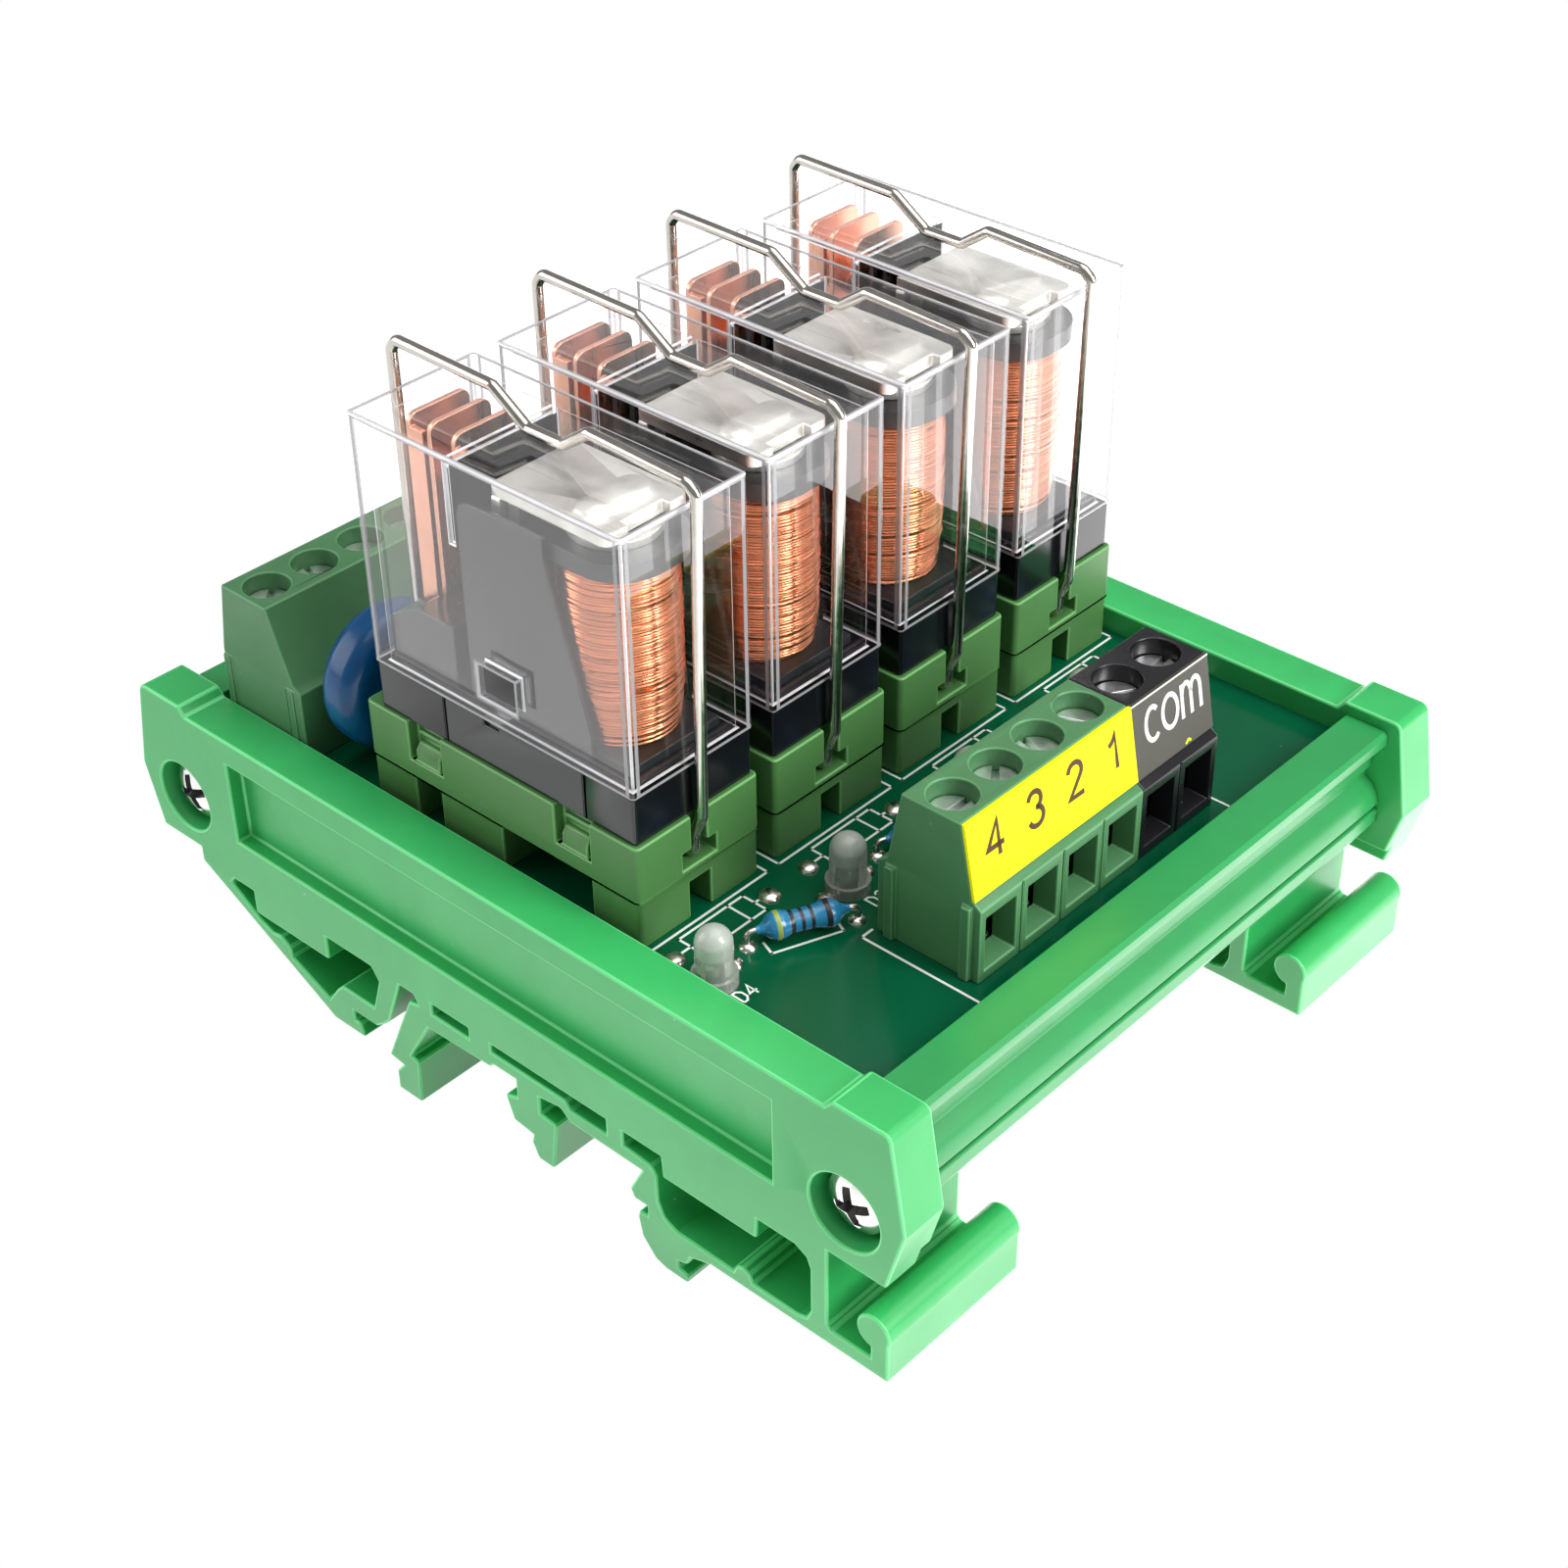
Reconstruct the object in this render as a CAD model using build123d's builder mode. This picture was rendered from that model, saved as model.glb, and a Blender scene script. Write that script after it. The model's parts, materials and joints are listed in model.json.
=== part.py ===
from build123d import *
from math import cos, sin, radians, hypot, atan2, degrees
import os

os.makedirs("parts", exist_ok=True)

# Axes: +X along the mounting rail, -Y the input side, +Z up, z = 0 under the lowest hooks.

# Channels: one relay with its socket, clip, disc and lamp each
channels = 4
pole_pitch = 5.08
poles_per_channel = 3
channel_pitch = poles_per_channel * pole_pitch

# Carrier
plate_thickness = 4.45
end_gap = 0.17
board_width = 76.8
board_thickness = 1.6
board_end_gap = 0.05
board_slot_gap = 0.1
board_side_gap = 0.15
output_poles = channels * poles_per_channel
inner_length = output_poles * pole_pitch + 2 * end_gap
overall_length = inner_length + 2 * plate_thickness

board_top = 25.5
board_bottom = board_top - board_thickness
plate_rail_top = board_top + 2.3
plate_block_top = board_top + 3.1
flange_underside = board_top + board_slot_gap
flange_top = flange_underside + 1.9
wall_bottom = 18.2
wall_face = board_width / 2 + board_side_gap
wall_outer = wall_face + 1.55
lip_outer = wall_outer + 1.2
flange_inner = board_width / 2 - 1.25
boss_y = 38.1
boss_z = 18.6
boss_radius = 3.3
pilot_radius = 1.45
floor_bottom = 17.6
floor_top = 19.2
ledge_depth = 1.1

block_outer_top = lip_outer + 1.0
block_inner_top = 36.9
block_inner_foot = 36.2
widest = block_outer_top + 1.5
widest_level = 19.8
block_bottom = 13.65
panel_half = 31.1
panel_top = 25.2
panel_bottom = 17.1
panel_depth = 1.5
block_corner = 0.8
tip_step = 1.0
tip_height = 1.8
counterbore_radius = 3.35
counterbore_depth = 2.9
screw_hole_radius = 1.65

# Rail feet
foot_depth = 15.5
rail_width = 35.0
rail_play = 0.25
rail_half = rail_width / 2 + rail_play / 2
rail_lip_top = 5.7
rail_lip_low = 4.65
foot_end = lip_outer + 1.15
foot_top = 17.55
foot_half = 34.5

# Relays
relay_length = 29.0
relay_width = 13.0
relay_front = -12.55
relay_back = relay_front + relay_length
relay_mid_y = relay_front + relay_length / 2
socket_height = 9.6
socket_top = board_top + socket_height
seam_level = board_top + 4.4
socket_front = relay_front - 0.25
socket_back = relay_back + 1.5
socket_width = 13.4
socket_corner = 0.5
base_height = 4.3
cover_bottom = socket_top + base_height
cover_height = 22.2
cover_top = cover_bottom + cover_height
cover_wall = 0.9
cover_gap = 0.12
cover_corner = 0.4
wire = 0.95
wire_bend = 0.8

# Terminals
block_height = 14.0
block_top_depth = 5.7
block_knee = 7.5
knee_step = 0.9
knee_drop = 0.6
block_top_z = board_top + block_height
knee_z = board_top + block_knee
input_poles = 4
common_poles = 2
input_first_x = -13.1
input_mid_y = -29.5
input_foot_front = 5.0
input_foot_back = 5.0
output_mid_y = 31.7
output_foot_front = 6.1
output_foot_back = 3.9
well_radius = 2.0
well_depth = 3.1
window_width = 3.7
window_height = 5.0
window_low = 0.95
funnel_depth = 2.0
funnel_slope = 13.0
window_depth = 7.2
pole_groove = 0.2
end_rib = 0.9
strip_thickness = 0.3


def channel_x(k):
    return (k - (channels - 1) / 2) * channel_pitch


def save(body, name):
    body.label = name
    export_step(body, "parts/" + name + ".step")


# Carrier profile: the long extrusion that holds the board
wall_mirror = Plane.XZ
with BuildPart() as carrier_profile:
    with BuildSketch(Plane.YZ.offset(-inner_length / 2)) as wall_shape:
        with BuildLine():
            Polyline(
                (-flange_inner, flange_top),
                (-flange_inner, flange_underside),
                (-wall_face, flange_underside),
                (-wall_face, board_bottom - board_slot_gap),
                (-wall_face + ledge_depth + 0.9, board_bottom - board_slot_gap),
                (-wall_face + ledge_depth + 0.9, board_bottom - board_slot_gap - 1.2),
                (-wall_face, board_bottom - board_slot_gap - 1.2 - ledge_depth),
                (-wall_face, floor_bottom),
                (-lip_outer, wall_bottom),
                (-lip_outer, wall_bottom + 1.3),
                (-lip_outer + 0.5, wall_bottom + 1.55),
                (-lip_outer, wall_bottom + 1.9),
                (-lip_outer + 0.25, wall_bottom + 2.9),
                (-lip_outer + 0.75, wall_bottom + 3.7),
                (-lip_outer + 1.6, wall_bottom + 4.3),
                (-wall_outer + 0.45, wall_bottom + 4.5),
                (-wall_outer + 0.45, wall_bottom + 5.1),
                (-wall_outer, wall_bottom + 5.3),
                (-wall_outer, flange_top - 1.5),
                (-lip_outer, flange_top - 1.3),
                (-lip_outer, flange_top - 0.35),
                (-lip_outer + 0.35, flange_top),
                close=True,
            )
        make_face()
        with Locations((-boss_y, boss_z)):
            Circle(boss_radius - 0.35)
    extrude(amount=inner_length)
    mirror(about=wall_mirror)
    with BuildSketch(Plane.YZ.offset(-inner_length / 2)) as floor_shape:
        with Locations((0, (floor_bottom + floor_top) / 2)):
            Rectangle(2 * boss_y, floor_top - floor_bottom)
    extrude(amount=inner_length)
    with BuildSketch(Plane.YZ.offset(-inner_length / 2)) as pilot_shape:
        with Locations((-boss_y, boss_z), (boss_y, boss_z)):
            Circle(pilot_radius)
    extrude(amount=inner_length, mode=Mode.SUBTRACT)
save(carrier_profile.part, "carrier_profile")


# End plates: a thin shouldered plate with two rail hooks and two rail feet below it
r = rail_half
back_end = block_inner_foot + 0.8
post_outer = foot_end - 5.95
post_inner = post_outer - 1.7
step_top = block_bottom - 1.3

upper_outline = [
    (-block_outer_top, plate_block_top),
    (-block_inner_top, plate_block_top),
    (-block_inner_foot, plate_rail_top),
    (block_inner_foot, plate_rail_top),
    (block_inner_top, plate_block_top),
    (block_outer_top, plate_block_top),
    (widest, widest_level),
    (block_outer_top - 0.2, block_bottom),
    (back_end, block_bottom),
    (back_end, step_top),
    (-post_outer, step_top),
    (-post_outer, block_bottom),
    (-block_outer_top + 0.2, block_bottom),
    (-widest, widest_level),
]

foot_outline = [
    (back_end, block_bottom + 1.8),
    (back_end, 12.2),
    (r + 2.8, 3.3),
    (r - 1.1, 3.3),
    (r - 0.7, rail_lip_low),
    (r, rail_lip_low),
    (r, rail_lip_top),
    (r - 3.0, rail_lip_top),
    (r - 4.2, 6.6),
    (r - 4.9, 7.4),
    (r - 6.8, 12.4),
    (r - 8.5, 12.4),
    (r - 9.0, 11.5),
    (r - 7.8, 11.2),
    (r - 4.3, 3.35),
    (r - 6.0, 3.1),
    (r - 5.1, 2.0),
    (r - 5.1, 0),
    (r - 8.0, 0),
    (r - 8.2, 4.6),
    (r - 7.3, 4.85),
    (r - 10.0, 9.5),
    (0, 9.8),
    (-0.5, 10.25),
    (-3.0, 10.25),
    (-3.0, 8.3),
    (-1.6, 7.85),
    (-2.4, 5.5),
    (-4.6, 5.2),
    (-4.4, 4.35),
    (-5.1, 2.85),
    (-6.9, 2.85),
    (-7.6, 7.95),
    (-5.75, 8.15),
    (-5.75, 9.9),
    (-8.2, 10.3),
    (-9.3, 9.4),
    (-r + 0.4, 9.3),
    (-r + 1.8, 6.6),
    (-r + 1.4, rail_lip_top),
    (-r, rail_lip_top),
    (-r, rail_lip_low),
    (-r + 0.9, rail_lip_low),
    (-r + 1.1, 4.0),
    (-r + 0.7, 2.0),
    (-r - 0.7, 0.35),
    (-r - 1.9, 0),
    (-r - 4.2, 0),
    (-r - 4.35, 0.8),
    (-r - 3.25, 1.1),
    (-r - 3.25, 1.75),
    (-r - 4.2, 2.05),
    (-r - 4.7, 3.1),
    (-r - 6.9, 3.85),
    (-foot_end, 3.95),
    (-foot_end, 8.25),
    (-foot_end + 1.75, 8.25),
    (-foot_end + 1.75, 5.5),
    (-post_outer - 0.4, 5.5),
    (-post_outer, 5.9),
    (-post_outer, block_bottom + 1.8),
    (-foot_half, block_bottom + 1.8),
    (-foot_half, foot_top),
    (foot_half, foot_top),
    (foot_half, block_bottom + 1.8),
]

front_cavity = [
    (-r + 2.3, 12.2),
    (-r - 1.8, 12.2),
    (-r - 1.95, 10.1),
    (-post_inner + 5.4, 10.1),
    (-post_inner + 5.3, 12.15),
    (-post_inner + 1.4, 12.15),
    (-post_inner + 0.4, 11.6),
    (-post_inner, 10.6),
    (-post_inner, 6.2),
    (-post_inner + 0.4, 5.2),
    (-post_inner + 1.3, 4.9),
    (-post_inner + 5.9, 4.9),
    (-post_inner + 6.2, 5.7),
    (-post_inner + 6.9, 6.0),
    (-post_inner + 7.6, 5.7),
    (-post_inner + 7.9, 4.95),
    (-r - 3.2, 5.05),
    (-r - 1.9, 5.7),
    (-r - 1.3, 7.0),
    (-r - 1.3, 9.7),
    (-r - 0.7, 10.5),
    (-r + 2.3, 10.75),
]

back_cavity = [
    (back_end - 3.9, 11.65),
    (back_end - 4.4, 12.3),
    (back_end - 7.0, 12.3),
    (back_end - 7.0, 9.95),
    (r + 2.6, 9.95),
    (r + 2.6, 12.4),
    (r - 3.2, 12.4),
    (r - 4.0, 11.2),
    (r - 2.9, 7.75),
    (r + 1.3, 7.75),
    (r + 2.1, 6.9),
    (r + 3.3, 5.2),
    (r + 8.0, 7.3),
    (r + 8.1, 8.3),
    (r + 9.2, 8.95),
    (r + 10.4, 8.75),
    (back_end - 7.2, 9.5),
]

middle_slot = [
    (-0.3, 12.35),
    (-13.4, 12.35),
    (-13.4, 10.75),
    (-9.4, 10.75),
    (-8.9, 11.5),
    (-0.3, 11.5),
]

inner_face = inner_length / 2
outer_face = overall_length / 2
seat_x = outer_face - counterbore_depth


with BuildPart() as end_plate:
    with BuildSketch(Plane.YZ.offset(-outer_face)) as upper_shape:
        with BuildLine():
            Polyline(*upper_outline, close=True)
        make_face()
        top_corners = upper_shape.vertices().group_by(Axis.Y)[-1].sort_by(Axis.X)
        wide_corners = upper_shape.vertices().sort_by(Axis.X)
        fillet((top_corners[0], top_corners[-1]), block_corner)
        fillet((wide_corners[0], wide_corners[-1]), block_corner)
        with Locations((0, (foot_top + step_top) / 2)):
            Rectangle(2 * foot_half, foot_top - step_top)
    extrude(amount=plate_thickness)
    for side in (-1, 1):
        with Locations((-inner_face - tip_step / 2, side * (boss_y + boss_radius), block_bottom)):
            Box(tip_step, 2 * boss_radius, 2 * tip_height, mode=Mode.SUBTRACT)
    with BuildSketch(Plane.YZ.offset(-outer_face)):
        with BuildLine():
            Polyline(*foot_outline, close=True)
        make_face()
        with Locations((-foot_end + 1.5, 8.25)):
            Circle(1.6)
    extrude(amount=foot_depth)
    with BuildSketch(Plane.YZ.offset(-outer_face)):
        for opening in (front_cavity, back_cavity, middle_slot):
            with BuildLine():
                Polyline(*opening, close=True)
            make_face()
        with Locations((r - 13.0, 12.0)):
            Rectangle(4.4, 1.1)
    extrude(amount=foot_depth, mode=Mode.SUBTRACT)
    with BuildSketch(Plane.YZ.offset(-outer_face)):
        with Locations((0, (panel_top + panel_bottom) / 2)):
            Rectangle(2 * panel_half, panel_top - panel_bottom)
    extrude(amount=panel_depth, mode=Mode.SUBTRACT)
    with BuildSketch(Plane.YZ.offset(-outer_face)):
        with Locations((-boss_y, boss_z), (boss_y, boss_z)):
            Circle(counterbore_radius)
    extrude(amount=counterbore_depth, mode=Mode.SUBTRACT)
    with BuildSketch(Plane.YZ.offset(-outer_face)):
        with Locations((-boss_y, boss_z), (boss_y, boss_z)):
            Circle(screw_hole_radius)
    extrude(amount=plate_thickness, mode=Mode.SUBTRACT)
save(end_plate.part, "end_plate_left")

with BuildPart() as end_plate_right:
    add(end_plate.part.mirror(Plane.YZ))
save(end_plate_right.part, "end_plate_right")


# End plate screws: pan heads seated in the counterbores, shanks in the profile's channels
head_radius = 2.65
head_height = 2.3
shank_radius = pilot_radius - 0.05
shank_length = plate_thickness - counterbore_depth + 8.0
cross_width = 0.9
cross_length = 3.5
cross_depth = 1.5
cross_slope = 14.0
head_rim = 1.5
head_curve = 4.8
with BuildPart() as end_plate_screws:
    for side in (-1, 1):
        for end in (-1, 1):
            head = Plane(
                origin=(end * seat_x, side * boss_y, boss_z),
                x_dir=(0, 1, 0),
                z_dir=(end, 0, 0),
            )
            upright = Plane(origin=head.origin, x_dir=(0, 1, 0), z_dir=(0, 0, 1))
            with BuildSketch(upright):
                with BuildLine():
                    Line((0, 0), (head_radius, 0))
                    Line((head_radius, 0), (head_radius, -end * head_rim))
                    RadiusArc((head_radius, -end * head_rim), (0, -end * head_height), end * head_curve)
                    Line((0, -end * head_height), (0, 0))
                make_face()
            revolve(axis=Axis(head.origin, head.z_dir))
            with BuildSketch(head):
                Circle(shank_radius)
            extrude(amount=-shank_length)
            with BuildSketch(head.offset(head_height)):
                Rectangle(cross_length, cross_width, rotation=20)
                Rectangle(cross_width, cross_length, rotation=20)
            extrude(amount=-cross_depth, taper=cross_slope, mode=Mode.SUBTRACT)
save(end_plate_screws.part, "end_plate_screws")


# Circuit board
board_length = inner_length - 2 * board_end_gap
with BuildPart() as circuit_board:
    with Locations((0, 0, board_top - board_thickness / 2)):
        Box(board_length, board_width, board_thickness)
save(circuit_board.part, "circuit_board")


# Relay sockets
leg_gap_front = relay_front + 5.0
leg_gap_back = relay_front + 15.0
side_gap_front = relay_back - 6.8
side_gap_back = relay_back - 3.8
side_gap_depth = 2.5
latch_ys = (relay_front + 6.8, relay_back - 5.4)
latch_half = 1.9
latch_depth = 1.1
latch_drop = 3.6
tab_half = 1.4
tab_thick = 0.9
tab_height = 1.7
ledge_half = 1.4
ledge_level = socket_top - 1.0
slot_half = 0.85
slot_depth = 1.9
hook_half = 1.85
hook_floor = seam_level + 0.5
hook_top = socket_top - 3.1
mouth_half = 1.15
mouth_depth = 4.0
mouth_top = seam_level - 1.0
seam_inset = 0.075
socket_mid = (socket_front + socket_back) / 2
socket_length = socket_back - socket_front
lower_width = socket_width - 2 * seam_inset
lower_length = socket_length - 2 * seam_inset
foot_mid_z = (board_top + seam_level) / 2
foot_height = seam_level - board_top
side_gap = side_gap_back - side_gap_front
for k in range(channels):
    cx = channel_x(k)
    with BuildPart() as relay_socket:
        with BuildSketch(Plane.XY.offset(seam_level)):
            with Locations((cx, socket_mid)):
                RectangleRounded(socket_width, socket_length, socket_corner)
        extrude(amount=socket_top - seam_level)
        with BuildSketch(Plane.XY.offset(board_top)):
            with Locations((cx, socket_mid)):
                RectangleRounded(lower_width, lower_length, socket_corner)
        extrude(amount=seam_level - board_top)
        with Locations((cx, (leg_gap_front + leg_gap_back) / 2, foot_mid_z)):
            Box(socket_width, leg_gap_back - leg_gap_front, foot_height, mode=Mode.SUBTRACT)
        for side in (-1, 1):
            gap_x = cx + side * socket_width / 2
            with Locations((gap_x, (side_gap_front + side_gap_back) / 2, foot_mid_z)):
                Box(2 * side_gap_depth, side_gap, foot_height, mode=Mode.SUBTRACT)
            for y in latch_ys:
                with Locations((gap_x, y, socket_top - latch_drop / 2)):
                    Box(2 * latch_depth, 2 * latch_half, latch_drop, mode=Mode.SUBTRACT)
                tab_x = cx + side * (socket_width / 2 - latch_depth + tab_thick / 2)
                with BuildSketch(Plane(origin=(tab_x, y, 0), x_dir=(1, 0, 0), z_dir=(0, -1, 0))):
                    with BuildLine():
                        foot_z = socket_top - latch_drop
                        Polyline(
                            (-side * tab_thick / 2, foot_z),
                            (side * tab_thick / 2, foot_z),
                            (side * tab_thick / 2, foot_z + tab_height * 0.6),
                            (0, foot_z + tab_height),
                            (-side * tab_thick / 2, foot_z + tab_height),
                            close=True,
                        )
                    make_face()
                extrude(amount=tab_half, both=True)
                with Locations((tab_x - side * tab_thick / 4, y, ledge_level)):
                    Box(tab_thick / 2, 2 * ledge_half, 0.4)
        for end, face in ((-1, socket_front), (1, socket_back)):
            mid = face - end * slot_depth / 2
            with Locations((cx, mid, (hook_top + socket_top) / 2)):
                Box(2 * slot_half, slot_depth, socket_top - hook_top, mode=Mode.SUBTRACT)
            with Locations((cx, mid, (hook_floor + hook_top) / 2)):
                Box(2 * hook_half, slot_depth, hook_top - hook_floor, mode=Mode.SUBTRACT)
            with Locations((cx, face - end * mouth_depth / 2, (board_top + mouth_top) / 2)):
                Box(2 * mouth_half, mouth_depth, mouth_top - board_top, mode=Mode.SUBTRACT)
    save(relay_socket.part, "relay_socket_" + str(k + 1))


# Wire retaining clips over the relays
wire_seat = cover_top + wire / 2 + 0.03
hook_z = hook_floor + wire / 2 + 0.03
front_run = relay_front - 1.15
back_run = socket_back + 0.35
clip_path = [
    (relay_front + 1.35, hook_z),
    (relay_front + 0.4, hook_z),
    (relay_front + 0.2, socket_top - 2.1),
    (relay_front - 0.6, socket_top - 0.3),
    (front_run, cover_top + 1.3),
    (front_run + 0.9, cover_top + 2.0),
    (relay_front + 9.5, cover_top + 2.4),
    (relay_front + 12.2, wire_seat),
    (relay_front + 16.0, wire_seat),
    (relay_front + 19.5, cover_top + 2.8),
    (back_run - 0.7, cover_top + 3.0),
    (back_run, cover_top + 2.1),
    (back_run - 0.1, socket_top - 0.1),
    (socket_back - 0.6, socket_top - 2.1),
    (socket_back - 0.85, hook_z),
    (socket_back - 1.75, hook_z),
]
for k in range(channels):
    cx = channel_x(k)
    with BuildPart() as retaining_clip:
        with BuildLine() as clip_line:
            FilletPolyline(*[(cx, y, z) for y, z in clip_path], radius=wire_bend)
        start = Plane(origin=(cx, clip_path[0][0], hook_z), x_dir=(1, 0, 0), z_dir=(0, -1, 0))
        with BuildSketch(start):
            Circle(wire / 2)
        sweep()
    save(retaining_clip.part, "retaining_clip_" + str(k + 1))


# Relays: base, cover, bobbin, winding, yoke, armature and contacts
base_play = 0.15
base_corner = 0.3
parting_ys = (relay_front + 5.5, relay_back - 8.0)
parting = 0.16
seat_z = cover_bottom + 0.3
inner_half_x = relay_width / 2 - cover_wall - cover_gap
inner_front = relay_front + cover_wall + cover_gap
inner_back = relay_back - cover_wall - cover_gap
coil_y = relay_front + 7.2
coil_low = seat_z + 0.8
coil_high = seat_z + 15.9
coil_radius = 4.72
core_radius = 2.0
flange_length = 10.6
flange_width = 9.5
flange_round = 4.0
flange_high = coil_high + 1.6
pole_radius = 3.6
pole_top = flange_high + 0.7
yoke_half = 3.9
yoke_front = relay_front + 13.2
yoke_back = yoke_front + 1.2
yoke_foot = 0.8
air_gap = 0.5
hinge_gap = 0.08
yoke_top = pole_top + air_gap - hinge_gap
armature_low = pole_top + air_gap
armature_thick = 1.2
armature_half = 4.3
armature_corner = 1.0
boss_rise = 0.35
plate_front = relay_front + 3.6
nose_half = 2.1
nose_depth = 0.8
tail_half = 4.4
tail_front = yoke_back + 0.25
tail_back = tail_front + 1.0
tail_low = armature_low - 6.2
pocket_depth = 1.0
pocket_half = 4.2
barrier_front = tail_back + 0.55
barrier_back = barrier_front + 1.1
barrier_height = 16.8
cheek_thick = 0.6
cheek_top = cover_bottom + 18.3
cheek_front = relay_front + 5.4
cheek_lean = 3.9
cheek_corner = 1.6
dock_front = relay_back - 8.9
dock_back = relay_back - 1.35
dock_low = cover_bottom + 4.3
dock_high = cover_bottom + 6.2
latch_y = relay_front + 14.4
latch_z = cover_bottom + 3.6
window_half_y = 2.0
window_half_z = 1.4
latch_play = 0.25
latch_wall = 0.7
latch_nose = 0.9
notch_y = relay_front + 15.6
notch_half = 0.8
leaf_ys = (relay_back - 7.0, relay_back - 4.3, relay_back - 1.9)
leaf_left = -2.2
leaf_right = 3.95
leaf_thick = 0.5
leaf_flange = 1.6
leaf_play = 0.06
leaf_corner = 0.9
leaf_top = cover_top - cover_wall - 0.45
rivet_radius = 1.3
contact_gap = 0.03
rivet_z = seat_z + 15.0
rib_y = relay_back - 10.0
rib_thick = 0.5
rib_drop = 0.6
rib_ends = 7.2
rib_depth = 0.24
cheek_back = rib_y - rib_thick / 2 - 0.25
leaf_width = leaf_right - leaf_left
leaf_slot = leaf_thick + 2 * leaf_play
slot_height = dock_high - seat_z
slot_mid_z = (seat_z + dock_high) / 2
latch_stand = latch_z + 1.1 - seat_z
flange_top_z = leaf_top - 1.0
yoke_low = seat_z - pocket_depth
pocket_front = coil_y - pocket_half
for k in range(channels):
    cx = channel_x(k)
    n = str(k + 1)
    leaf_x = cx + (leaf_left + leaf_right) / 2
    fold_x = cx + leaf_left + leaf_thick / 2
    with BuildPart() as relay_base:
        with BuildSketch(Plane.XY.offset(socket_top)):
            with Locations((cx, relay_mid_y)):
                RectangleRounded(relay_width - 2 * base_play, relay_length - 2 * base_play, base_corner)
        extrude(amount=cover_bottom - socket_top)
        with Locations((cx, (inner_front + inner_back) / 2, (cover_bottom + seat_z) / 2)):
            Box(2 * inner_half_x, inner_back - inner_front, seat_z - cover_bottom)
        with Locations((cx, (pocket_front + yoke_back) / 2, seat_z - pocket_depth / 2)):
            Box(2 * pocket_half, yoke_back - pocket_front + 0.2, pocket_depth, mode=Mode.SUBTRACT)
        with Locations((cx, (barrier_front + barrier_back) / 2, seat_z + barrier_height / 2)):
            Box(2 * inner_half_x - cheek_thick, barrier_back - barrier_front, barrier_height)
        with BuildSketch(Plane.YZ.offset(cx - inner_half_x)) as cheek_shape:
            with BuildLine():
                Polyline(
                    (cheek_front, seat_z),
                    (cheek_front, cover_bottom + 2.5),
                    (cheek_front + cheek_lean, cover_bottom + 16.5),
                    (cheek_front + cheek_lean, cheek_top),
                    (cheek_back, cheek_top),
                    (cheek_back, seat_z),
                    close=True,
                )
            make_face()
            fillet(cheek_shape.vertices().group_by(Axis.Y)[-1].sort_by(Axis.X)[-1], cheek_corner)
        extrude(amount=cheek_thick)
        mirror(about=Plane.YZ.offset(cx))
        with BuildSketch(Plane.YZ.offset(cx - inner_half_x)):
            with BuildLine():
                Polyline(
                    (dock_front, seat_z),
                    (dock_front, dock_high),
                    (dock_back - 3.3, dock_high),
                    (dock_back, dock_low),
                    (dock_back, seat_z),
                    close=True,
                )
            make_face()
        extrude(amount=2 * inner_half_x)
        for y in leaf_ys:
            with Locations((leaf_x, y, slot_mid_z)):
                Box(leaf_width + 2 * leaf_play, leaf_slot, slot_height, mode=Mode.SUBTRACT)
        for y in (leaf_ys[0], leaf_ys[2]):
            with Locations((fold_x, y - leaf_flange / 2, slot_mid_z)):
                Box(leaf_slot, leaf_flange + 2 * leaf_play, slot_height, mode=Mode.SUBTRACT)
        for side in (-1, 1):
            stand_x = cx + side * (inner_half_x - latch_wall / 2)
            with Locations((stand_x, latch_y, seat_z + latch_stand / 2)):
                Box(latch_wall, 2 * (window_half_y - latch_play), latch_stand)
            with Locations((cx + side * (relay_width / 2 - cover_wall + 0.1), latch_y, latch_z)):
                Box(latch_nose, 2 * (window_half_y - latch_play), 2 * (window_half_z - latch_play))
            edge_x = cx + side * (relay_width / 2 - base_play)
            with Locations((edge_x, notch_y, cover_bottom - 0.3)):
                Box(0.8, 2 * notch_half, 0.6, mode=Mode.SUBTRACT)
            for y in parting_ys:
                with Locations((edge_x, y, (socket_top + cover_bottom) / 2)):
                    Box(parting, parting, cover_bottom - socket_top, mode=Mode.SUBTRACT)
    save(relay_base.part, "relay_base_" + n)

    with BuildPart() as relay_cover:
        with BuildSketch(Plane.XY.offset(cover_bottom)):
            with Locations((cx, relay_mid_y)):
                RectangleRounded(relay_width, relay_length, cover_corner)
        extrude(amount=cover_height)
        with Locations((cx, relay_mid_y, (cover_bottom + cover_top - cover_wall) / 2)):
            Box(
                relay_width - 2 * cover_wall,
                relay_length - 2 * cover_wall,
                cover_height - cover_wall,
                mode=Mode.SUBTRACT,
            )
        with Locations((cx, rib_y, cover_top - cover_wall - rib_drop / 2)):
            Box(relay_width - 2 * cover_wall, rib_thick, rib_drop)
        for side in (-1, 1):
            rib_x = cx + side * (relay_width / 2 - cover_wall - rib_depth / 2)
            with Locations((rib_x, rib_y, cover_top - cover_wall + 0.1 - rib_ends / 2)):
                Box(rib_depth, rib_thick, rib_ends)
            with Locations((cx + side * (relay_width / 2 - cover_wall / 2), latch_y, latch_z)):
                Box(2 * cover_wall, 2 * window_half_y, 2 * window_half_z, mode=Mode.SUBTRACT)
    save(relay_cover.part, "relay_cover_" + n)

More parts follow.
